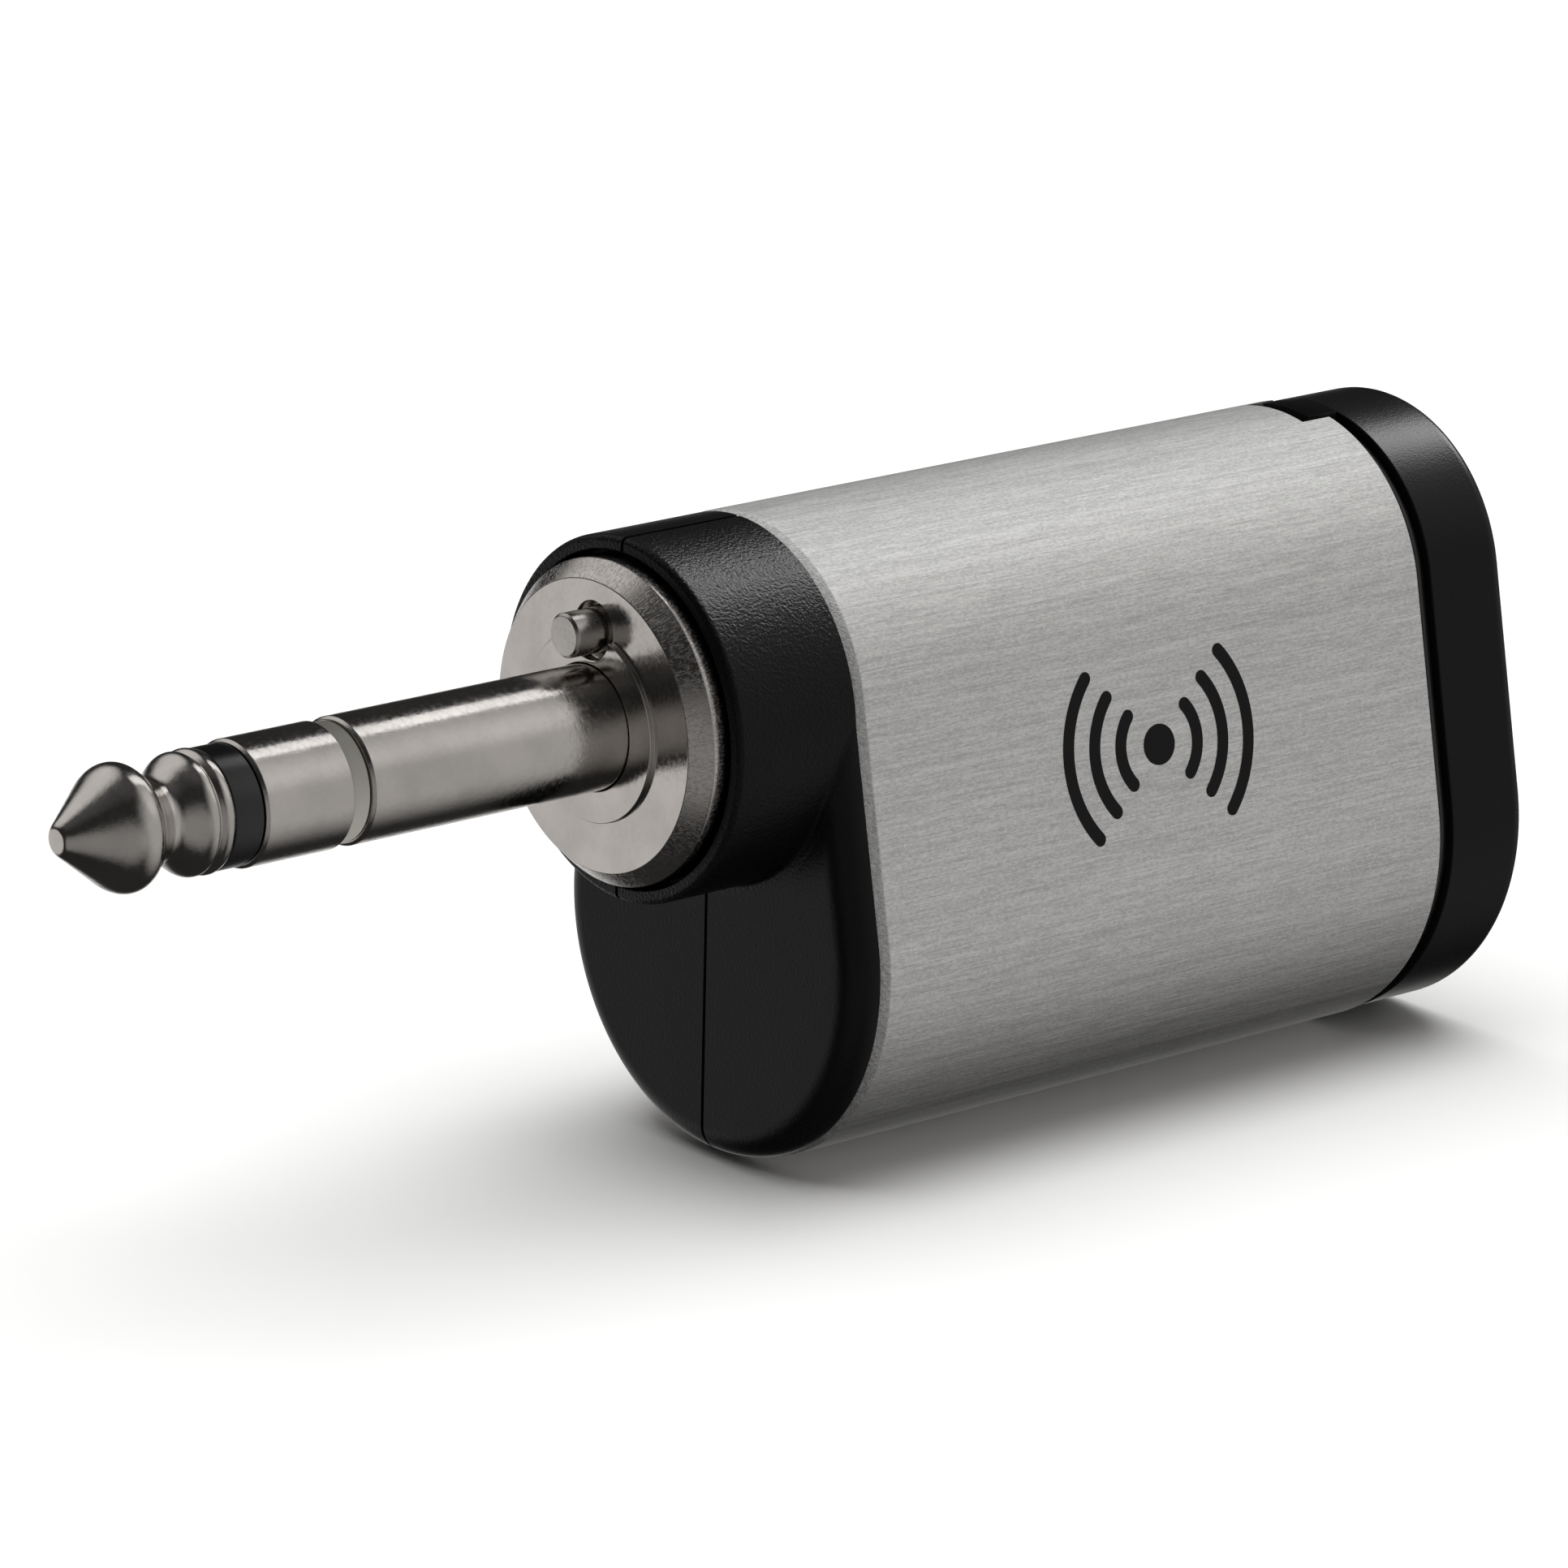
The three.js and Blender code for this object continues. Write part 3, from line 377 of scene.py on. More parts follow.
@dataclass(frozen=True)
class BrushedMetal(Finish):
    """Metal brushed along X, with a coarser brush across its bevelled front edge.

    Attributes:
        streak: The width of a brush line.
        reach: The length of a brush line.
        depth: The depth of the brush lines.
        bevel_rear: Where the cross-brushed front bevel ends, along X.
    """

    streak: float = 0.09
    reach: float = 2.6
    depth: float = 0.016
    bevel_rear: float = 9.7

    def worked(self, graph: Graph) -> dict[str, object]:
        """Gives the brush lines, their broader shading and the bevel's cross brush."""
        x, y, z = graph.place()
        across = 1 / self.streak
        fine = graph.noise(x * (1 / self.reach), y * across, z * across, detail=3, rough=0.7)
        broad = graph.noise(x * 0.05, y * across * 0.22, z * across * 0.22, detail=2)
        grit = graph.noise(x * 4.0, y * 9, z * 9, detail=2, rough=0.7)
        hatch = graph.noise(x * 6 + y * 5 + z * 5, y * 2 - x * 2, z * 2 - x * 2, detail=3, rough=0.8)
        bevel = x < self.bevel_rear
        body = fine * 0.72 + broad * 0.28
        lines = body + bevel * (hatch - body)
        shade = (lines * 0.6 + grit * 0.4).step(0.34, 0.66)
        height = lines * self.depth + grit * (0.5 * self.depth) + bevel * (hatch * (2.6 * self.depth))
        return {
            "Base Color": graph.blend(shade, darker(self.colour, 0.7), darker(self.colour, 1.12)),
            "Roughness": self.rough + 0.16 * (lines - 0.5) + 0.1 * bevel,
            "Normal": graph.bump(height, 1.0),
        }


@dataclass(frozen=True)
class MouldedPlastic(Finish):
    """Moulded plastic with a spark-eroded grain that may fade away from the plug's axis.

    Attributes:
        grain: The size of the grain.
        depth: The depth of the grain.
        grained_radius: The distance from the plug's axis beyond which the grain is weaker.
        rest: The share of the grain that is left beyond that distance.
    """

    grain: float = 0.13
    depth: float = 0.02
    grained_radius: float = 40.0
    rest: float = 1.0

    def worked(self, graph: Graph) -> dict[str, object]:
        """Gives the grain, the handling haze and the faint colour change."""
        x, y, z = graph.place()
        radius = (y * y + z * z).maths("POWER", 0.5)
        strength = 1 - (1 - self.rest) * radius.step(self.grained_radius, self.grained_radius + 0.4)
        scale = 1 / self.grain
        grain = graph.noise(x * scale, y * scale, z * scale, detail=2, rough=0.55)
        haze = graph.noise(x * 0.22, y * 0.22, z * 0.22, detail=3)
        return {
            "Base Color": graph.blend(haze, darker(self.colour, 0.82), darker(self.colour, 1.15)),
            "Roughness": self.rough + 0.1 * (haze - 0.5) + 0.08 * (grain - 0.5),
            "Normal": graph.bump(grain * strength, self.depth),
        }


@dataclass(frozen=True)
class PaleInsulator(MouldedPlastic):
    """Off-white plastic that lets a little light in."""

    def extra(self) -> dict[str, object]:
        """Gives the light that passes under the surface."""
        return {"Subsurface Weight": 0.25, "Subsurface Radius": (1.0, 0.9, 0.7), "Subsurface Scale": 0.4 * MM}


@dataclass(frozen=True)
class WorkedMetal(Finish):
    """Rolled, drawn or cast small hardware with a fine directionless grain and faint stains.

    Attributes:
        grain: The size of the grain.
        stretch: How much longer the grain is along X.
        depth: The depth of the grain.
    """

    grain: float = 0.12
    stretch: float = 1.0
    depth: float = 0.003

    def worked(self, graph: Graph) -> dict[str, object]:
        """Gives the grain and the stains."""
        x, y, z = graph.place()
        scale = 1 / self.grain
        grain = graph.noise(x * (scale / self.stretch), y * scale, z * scale, detail=3, rough=0.6)
        stains = graph.noise(x * 0.5, y * 0.5, z * 0.5, detail=4)
        return {
            "Base Color": graph.blend(stains.step(0.35, 0.75), self.colour, darker(self.colour, 0.72)),
            "Roughness": self.rough + 0.22 * (grain - 0.5) + 0.12 * (stains - 0.5),
            "Normal": graph.bump(grain, self.depth),
        }


@dataclass(frozen=True)
class CircuitBoard(Finish):
    """Solder mask over copper tracks, with tinned vias."""

    track: float = 0.55
    via: float = 1.7

    def worked(self, graph: Graph) -> dict[str, object]:
        """Gives the tracks, the vias and the mask's ripple."""
        x, y, z = graph.place()
        rows = (z * (1 / self.track)).maths("FRACT")
        columns = (x * (1 / self.track)).maths("FRACT")
        zone = graph.noise(x * 0.22, y * 0.1, z * 0.22, detail=0)
        along = (rows < 0.42) * (zone > 0.52)
        upright = (columns < 0.42) * (zone < 0.45)
        tracks = along + upright
        dots = graph.cells(x * (1 / self.via), y * 0.1, z * (1 / self.via)) < 0.16
        ripple = graph.noise(x * 3, y * 3, z * 3, detail=3)
        masked = graph.blend(tracks, self.colour, darker(self.colour, 1.7))
        return {
            "Base Color": graph.blend(dots, masked, (0.62, 0.6, 0.52)),
            "Metallic": dots * 1.0,
            "Roughness": self.rough - 0.12 * tracks + 0.08 * (ripple - 0.5),
            "Normal": graph.bump(tracks * 0.6 + dots * 0.8 + ripple * 0.15, 0.03),
        }


@dataclass(frozen=True)
class PouchFoil(Finish):
    """The crinkled satin foil of a pouch cell."""

    def worked(self, graph: Graph) -> dict[str, object]:
        """Gives the crinkles and the scuffs."""
        x, y, z = graph.place()
        creases = graph.noise(x * 0.45, y * 0.45, z * 0.45, detail=5, rough=0.62)
        scuffs = graph.noise(x * 1.5, y * 6, z * 6, detail=2)
        return {
            "Base Color": graph.blend(scuffs.step(0.4, 0.7), self.colour, darker(self.colour, 0.86)),
            "Roughness": self.rough + 0.25 * (scuffs - 0.5),
            "Normal": graph.bump(creases + 0.08 * scuffs, 0.35),
        }


@dataclass(frozen=True)
class Foam(Finish):
    """Closed-cell foam."""

    def worked(self, graph: Graph) -> dict[str, object]:
        """Gives the cells."""
        x, y, z = graph.place()
        cells = graph.cells(x * 4, y * 4, z * 4)
        walls, hollows = darker(self.colour, 0.6), darker(self.colour, 1.4)
        return {
            "Base Color": graph.blend(cells.step(0.1, 0.8), walls, hollows),
            "Roughness": self.rough - 0.08 * cells,
            "Normal": graph.bump(1 - cells, 0.12),
        }


@dataclass(frozen=True)
class StudioPaper(Finish):
    """The seamless pale paper that the transmitter stands on."""

    def worked(self, graph: Graph) -> dict[str, object]:
        """Gives the paper's faint tooth."""
        x, y, z = graph.place()
        tooth = graph.noise(x * 0.8, y * 0.8, z * 0.8, detail=3)
        return {"Roughness": self.rough + 0.06 * (tooth - 0.5)}


NICKEL = PlatedMetal("nickel_plate", (0.66, 0.63, 0.6), 0.14, metal=1)
FACE_NICKEL = PlatedMetal(
    "nickel_plate_turned_face", (0.64, 0.61, 0.585), 0.12, metal=1, ring=0.12, ring_depth=0.002,
    pit_depth=0.0035, scratched_radius=7.45,
)
PIN_STEEL = PlatedMetal(
    "pin_steel", (0.56, 0.54, 0.52), 0.2, metal=1, axis_height=4.9, ring=0.16, ring_depth=0.003,
    pit_depth=0.002,
)
BRUSHED = BrushedMetal("brushed_metal", (0.8, 0.8, 0.79), 0.5, metal=1)
BLACK_INSULATOR = MouldedPlastic("black_insulator", (0.01, 0.01, 0.011), 0.26, grain=0.3, depth=0.002)
PALE_INSULATOR = PaleInsulator("pale_insulator", (0.4, 0.385, 0.35), 0.4, sheen=0.3, grain=0.35, depth=0.003)
TEXTURED_BLACK = MouldedPlastic(
    "textured_black", (0.0038, 0.0038, 0.0041), 0.31, sheen=0.15, grain=0.17, depth=0.055,
    grained_radius=9.5, rest=0.3,
)
CAP_BLACK = MouldedPlastic("textured_black_cap", (0.0045, 0.0045, 0.0048), 0.3, sheen=0.14, depth=0.012)
SMOOTH_BLACK = MouldedPlastic("smooth_black", (0.006, 0.006, 0.0065), 0.22, grain=0.5, depth=0.001)
SMOKED_WINDOW = MouldedPlastic("smoked_window", (0.009, 0.009, 0.01), 0.3, sheen=0.4, grain=0.2, depth=0.003)
PRINTED_INK = MouldedPlastic("printed_ink", (0.008, 0.008, 0.009), 0.45, sheen=0.12, grain=0.1, depth=0.003)
ZINC_STEEL = WorkedMetal("zinc_steel", (0.5, 0.5, 0.51), 0.34, metal=1)
SPRING_STEEL = WorkedMetal("spring_steel", (0.42, 0.42, 0.43), 0.3, metal=1, stretch=4.0)
TINNED_BRASS = WorkedMetal("tinned_brass", (0.66, 0.6, 0.42), 0.32, metal=1, grain=0.2)
BOARD_GREEN = CircuitBoard("circuit_board", (0.012, 0.075, 0.035), 0.38)
CHIP_EPOXY = MouldedPlastic("chip_epoxy", (0.02, 0.02, 0.022), 0.55, grain=0.09, depth=0.008)
LED_RESIN = PaleInsulator("led_resin", (0.8, 0.82, 0.68), 0.2, grain=0.6, depth=0.002)
POUCH_FOIL = PouchFoil("pouch_foil", (0.6, 0.61, 0.62), 0.36, metal=1)
FOAM_PAD = Foam("foam_pad", (0.05, 0.05, 0.055), 0.9)
WHITE_WIRE = MouldedPlastic("white_wire", (0.72, 0.72, 0.7), 0.4, grain=0.3, depth=0.004)
RED_WIRE = MouldedPlastic("red_wire", (0.42, 0.02, 0.02), 0.4, grain=0.3, depth=0.004)
BLACK_WIRE = MouldedPlastic("black_wire", (0.015, 0.015, 0.016), 0.4, grain=0.3, depth=0.004)
PAPER = StudioPaper("studio_paper", (0.86, 0.86, 0.855), 0.8, sheen=0.2)


# ---------------------------------------------------------------- outlines


def bow(start: Point, first: Point, second: Point, end: Point, steps: int = 14) -> list[Point]:
    """Gives points on a cubic curve.

    Args:
        start: Where it starts.
        first: Its first handle.
        second: Its second handle.
        end: Where it ends.
        steps: How many points to give after the start.

    Returns:
        The points after the start.
    """
    points = []
    for i in range(1, steps + 1):
        t = i / steps
        shares = ((1 - t) ** 3, 3 * t * (1 - t) ** 2, 3 * t * t * (1 - t), t**3)
        corners = (start, first, second, end)
        points.append(tuple(sum(s * c[axis] for s, c in zip(shares, corners)) for axis in (0, 1)))
    return points


def softened(corners: list[tuple[float, float, float]], closed: bool = False, steps: int = 4) -> list[Point]:
    """Rounds the corners of an outline.

    Args:
        corners: The outline's corners as (first, second, reach), where reach is how far along each
            side the rounding starts, and 0 keeps the corner sharp.
        closed: True if the outline ends where it starts.
        steps: How many facets a rounding has.

    Returns:
        The outline's points. A closed one doesn't repeat its first point.
    """
    points = []
    count = len(corners)
    for i, (a, b, reach) in enumerate(corners):
        if reach == 0 or (not closed and i in (0, count - 1)):
            points.append((a, b))
            continue
        here = Vector((a, b))
        before = Vector(corners[i - 1][:2]) - here
        after = Vector(corners[(i + 1) % count][:2]) - here
        start = here + before.normalized() * min(reach, before.length / 2)
        end = here + after.normalized() * min(reach, after.length / 2)
        for k in range(steps + 1):
            t = k / steps
            points.append(tuple(start * (1 - t) ** 2 + here * (2 * t * (1 - t)) + end * t * t))
    return points


@dataclass(frozen=True)
class BodySection:
    """The egg section of the body: a small arc round the plug's axis and a larger arc below it.

    Attributes:
        top: The small arc's radius.
        bottom: The large arc's radius.
        drop: How far the large arc's centre is below the small arc's.
        top_points: Points on the small arc.
        side_points: Points on each straight side.
        bottom_points: Points on the large arc.
    """

    top: float = 9.3
    bottom: float = 11.65
    drop: float = 12.3
    top_points: int = 72
    side_points: int = 10
    bottom_points: int = 96

    @property
    def lean(self) -> float:
        """The straight sides' lean from upright, in radians."""
        return math.asin((self.bottom - self.top) / self.drop)

    def corners(self, inset: float) -> list[Point]:
        """Gives the section's points, drawn in by an inset.

        Args:
            inset: The distance from the outer surface.

        Returns:
            The (Y, Z) points, all the way round.
        """
        points = []
        arcs = (
            (self.top - inset, 0.0, self.lean, math.pi - 2 * self.lean, self.top_points),
            (
                self.bottom - inset, -self.drop, math.pi - self.lean, math.pi + 2 * self.lean,
                self.bottom_points,
            ),
        )
        for radius, height, start, sweep, count in arcs:
            arc = []
            for i in range(count + 1):
                angle = start + sweep * i / count
                arc.append((radius * math.cos(angle), height + radius * math.sin(angle)))
            if points:
                points += self.between(points[-1], arc[0])
            points += arc
        return points + self.between(points[-1], points[0])

    def between(self, start: Point, end: Point) -> list[Point]:
        """Gives the inner points of a straight side."""
        shares = [i / self.side_points for i in range(1, self.side_points)]
        return [tuple(a + (b - a) * t for a, b in zip(start, end)) for t in shares]

    def radius(self, angle: float, inset: float) -> float:
        """Gives how far the section's edge is from the plug's axis.

        Args:
            angle: The direction, in radians up from +Y.
            inset: The distance from the outer surface.

        Returns:
            The distance to the edge.
        """
        small, large = self.top - inset, self.bottom - inset
        y, z = abs(math.cos(angle)), math.sin(angle)
        if z >= math.sin(self.lean):
            return small
        side = small / (math.cos(self.lean) * y + math.sin(self.lean) * z)
        lowest_on_side = large * math.sin(self.lean) - self.drop
        if side > 0 and side * z >= lowest_on_side:
            return side
        return -self.drop * z + math.sqrt((self.drop * z) ** 2 - self.drop**2 + large**2)

    def inset(self, angle: float, radius: float) -> float:
        """Gives how deep a point is under the outer surface.

        Args:
            angle: The point's direction, in radians up from +Y.
            radius: The point's distance from the plug's axis.

        Returns:
            The inset at which the section's edge passes through the point.
        """
        low, high = 0.0, self.top - 0.1
        for _ in range(40):
            middle = (low + high) / 2
            if self.radius(angle, middle) > radius:
                low = middle
            else:
                high = middle
        return low

    def on_flat(self, x: float, down: float, proud: float) -> Place:
        """Gives a place on the left flat side.

        Args:
            x: The place along the body.
            down: How far it is below the upper edge of the flat, along the flat.
            proud: How far it stands out from the metal.

        Returns:
            The place in millimetres.
        """
        reach = self.top + proud
        y = -reach * math.cos(self.lean) - down * math.sin(self.lean)
        z = reach * math.sin(self.lean) - down * math.cos(self.lean)
        return (x, y, z)


SECTION = BodySection()


# ---------------------------------------------------------------- meshes


class Edges(Enum):
    """How a piece's edges are shaded, by the angle in degrees from which an edge stays sharp."""

    SOFT = 60.0
    CRISP = 32.0


class Body(Enum):
    """The CAD bodies that the pieces here ride on."""

    CASING = "transmitter_body"
    PIN = "sensing_pin"


class Cut(Enum):
    """How two solids are put together."""

    JOIN = "UNION"
    REMOVE = "DIFFERENCE"
    COMMON = "INTERSECT"


class Slot(Enum):
    """The material slots that the pieces belong to."""

    NICKEL = "nickel_plate"
    PIN = "pin_steel"
    BRUSHED = "brushed_metal"
    INSULATOR = "black_insulator"
    PALE = "pale_insulator"
    TEXTURED = "textured_black"
    SMOOTH = "smooth_black"
    WINDOW = "smoked_window"
    SPRING = "spring_steel"
    WHITE_WIRE = "white_wire"
    RED_WIRE = "red_wire"
    BLACK_WIRE = "black_wire"


class Solid:
    """A closed mesh that can be cut, joined and dressed."""

    def __init__(self, name: str, places: list[Place], faces: list[tuple[int, ...]]) -> None:
        """Makes the mesh.

        Args:
            name: The piece's name.
            places: Its vertices in millimetres.
            faces: Its faces as rows of vertex numbers.
        """
        mesh = bpy.data.meshes.new(name)
        mesh.from_pydata([Vector(place) * MM for place in places], [], faces)
        shape = bmesh.new()
        shape.from_mesh(mesh)
        bmesh.ops.remove_doubles(shape, verts=shape.verts, dist=0.0004 * MM)
        bmesh.ops.recalc_face_normals(shape, faces=shape.faces)
        shape.to_mesh(mesh)
        shape.free()
        self.obj = bpy.data.objects.new(name, mesh)
        bpy.context.scene.collection.objects.link(self.obj)

    def bake(self) -> "Solid":
        """Turns the modifiers into plain mesh."""
        graph = bpy.context.evaluated_depsgraph_get()
        mesh = bpy.data.meshes.new_from_object(self.obj.evaluated_get(graph))
        mesh.name = self.obj.name
        self.obj.modifiers.clear()
        self.obj.data = mesh
        return self

    def combine(self, cut: Cut, *others: "Solid") -> "Solid":
        """Joins, cuts or intersects this solid with others, which are used up.

        Args:
            cut: How they are put together.
            others: The other solids.

        Returns:
            This solid.
        """
        for other in others:
            modifier = self.obj.modifiers.new("combine", "BOOLEAN")
            modifier.operation = cut.value
            modifier.solver = "MANIFOLD"
            modifier.object = other.obj
            self.bake()
            bpy.data.objects.remove(other.obj)
        return self

    def soften_edges(self, reach: float, sharper_than: float = 50.0) -> "Solid":
        """Puts a small rounding on the sharp edges.

        Args:
            reach: How far the rounding reaches from the edge.
            sharper_than: The edge angle in degrees from which an edge is rounded.

        Returns:
            This solid.
        """
        modifier = self.obj.modifiers.new("soften", "BEVEL")
        modifier.width = reach * MM
        modifier.segments = 2
        modifier.limit_method = "ANGLE"
        modifier.angle_limit = math.radians(sharper_than)
        return self.bake()

    def copied(self, name: str) -> "Solid":
        """Makes another solid of the same shape."""
        twin = Solid.__new__(Solid)
        twin.obj = self.obj.copy()
        twin.obj.data = self.obj.data.copy()
        twin.obj.name = name
        bpy.context.scene.collection.objects.link(twin.obj)
        return twin

    def moved(self, matrix: Matrix) -> "Solid":
        """Moves the vertices by a matrix in millimetres."""
        scale = Matrix.Scale(MM, 4)
        self.obj.data.transform(scale @ matrix @ scale.inverted())
        return self

    def dress(
        self, finish: Finish, slot: Slot, edges: Edges, nodes: tuple[str, ...], body: Body = Body.CASING
    ) -> "Solid":
        """Shades the piece, gives it its finish and puts it in the frame.

        Args:
            finish: Its finish.
            slot: The material slot that it belongs to. Not used.
            edges: How its edges are shaded.
            nodes: The CAD nodes that it stands for.
            body: The CAD body that it moves with.

        Returns:
            This solid.
        """
        mesh = self.obj.data
        mesh.shade_smooth()
        mesh.set_sharp_from_angle(angle=math.radians(edges.value))
        self.obj.modifiers.new("even shading", "WEIGHTED_NORMAL").keep_sharp = True
        self.bake()
        mesh = self.obj.data
        mesh.materials.clear()
        mesh.materials.append(finish.material())
        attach(self.obj, body.value)
        if nodes:
            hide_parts(*nodes)
        LOG.info("%s: %d faces, %s", self.obj.name, len(mesh.polygons), finish.name)
        return self


def skin(name: str, rings: list[list[Place]], closed: bool) -> Solid:
    """Joins rings of points into one closed solid.

    Args:
        name: The piece's name.
        rings: The rings, each with as many points.
        closed: True if the last ring joins the first, and False if flat faces close the ends.

    Returns:
        The solid.
    """
    count = len(rings[0])
    places = [place for ring in rings for place in ring]
    spans = len(rings) if closed else len(rings) - 1
    faces = []
    for span in range(spans):
        near, far = span * count, (span + 1) % len(rings) * count
        for i in range(count):
            j = (i + 1) % count
            faces.append((near + i, near + j, far + j, far + i))
    if not closed:
        faces.append(tuple(range(count)))
        faces.append(tuple(range(len(places) - count, len(places))))
    return Solid(name, places, faces)


def turned(name: str, outline: list[Point], sides: int, closed: bool = False, height: float = 0.0) -> Solid:
    """Makes a piece turned round an axis along X.

    Args:
        name: The piece's name.
        outline: Its (X, radius) points.
        sides: How many sides it has.
        closed: True for a ring or a tube, whose outline ends where it starts.
        height: The height of its axis.

    Returns:
        The solid.
    """
    thin = 0.001
    rings = []
    for x, radius in outline:
        reach = max(radius, thin)
        angles = [2 * math.pi * i / sides for i in range(sides)]
        rings.append([(x, reach * math.cos(a), height + reach * math.sin(a)) for a in angles])
    return skin(name, rings, closed)


def egg(name: str, stations: list[Point], closed: bool = False) -> Solid:
    """Makes a piece with the body's section.

    Args:
        name: The piece's name.
        stations: Its (X, inset) stations.
        closed: True for a tube, whose stations end where they start.

    Returns:
        The solid.
    """
    rings = [[(x, y, z) for y, z in SECTION.corners(inset)] for x, inset in stations]
    return skin(name, rings, closed)


def block(name: str, low: Place, high: Place) -> Solid:
    """Makes a cutting block from its lowest and highest corners."""
    ring = [(0, 0), (1, 0), (1, 1), (0, 1)]
    ends = (low, high)
    rings = [[(x, ends[i][1], ends[j][2]) for i, j in ring] for x in (low[0], high[0])]
    return skin(name, rings, closed=False)


def swept(name: str, route: list[Vector], radius: float, sides: int) -> Solid:
    """Makes a round wire along a route.

    Args:
        name: The piece's name.
        route: The route's points in millimetres.
        radius: The wire's radius.
        sides: How many sides the wire has.

    Returns:
        The solid.
    """
    side = (route[1] - route[0]).orthogonal().normalized()
    rings = []
    for i, here in enumerate(route):
        ahead = (route[min(i + 1, len(route) - 1)] - route[max(i - 1, 0)]).normalized()
        side = (side - ahead * side.dot(ahead)).normalized()
        other = ahead.cross(side)
        angles = [2 * math.pi * k / sides for k in range(sides)]
        rings.append([tuple(here + radius * (side * math.cos(a) + other * math.sin(a))) for a in angles])
    return skin(name, rings, closed=False)


def smooth_route(points: list[Place], steps: int) -> list[Vector]:
    """Gives a smooth route through points.

    Args:
        points: The points that it passes through.
        steps: How many steps it takes between two points.

    Returns:
        The route's points.
    """
    ends = [Vector(point) for point in points]
    ends = [2 * ends[0] - ends[1], *ends, 2 * ends[-1] - ends[-2]]
    route = []
    for a, b, c, d in zip(ends, ends[1:], ends[2:], ends[3:]):
        for i in range(steps):
            t = i / steps
            squared, cubed = 2 * a - 5 * b + 4 * c - d, 3 * b - a - 3 * c + d
            route.append(0.5 * (2 * b + (c - a) * t + squared * t**2 + cubed * t**3))
    return [*route, ends[-2]]


# ---------------------------------------------------------------- the plug


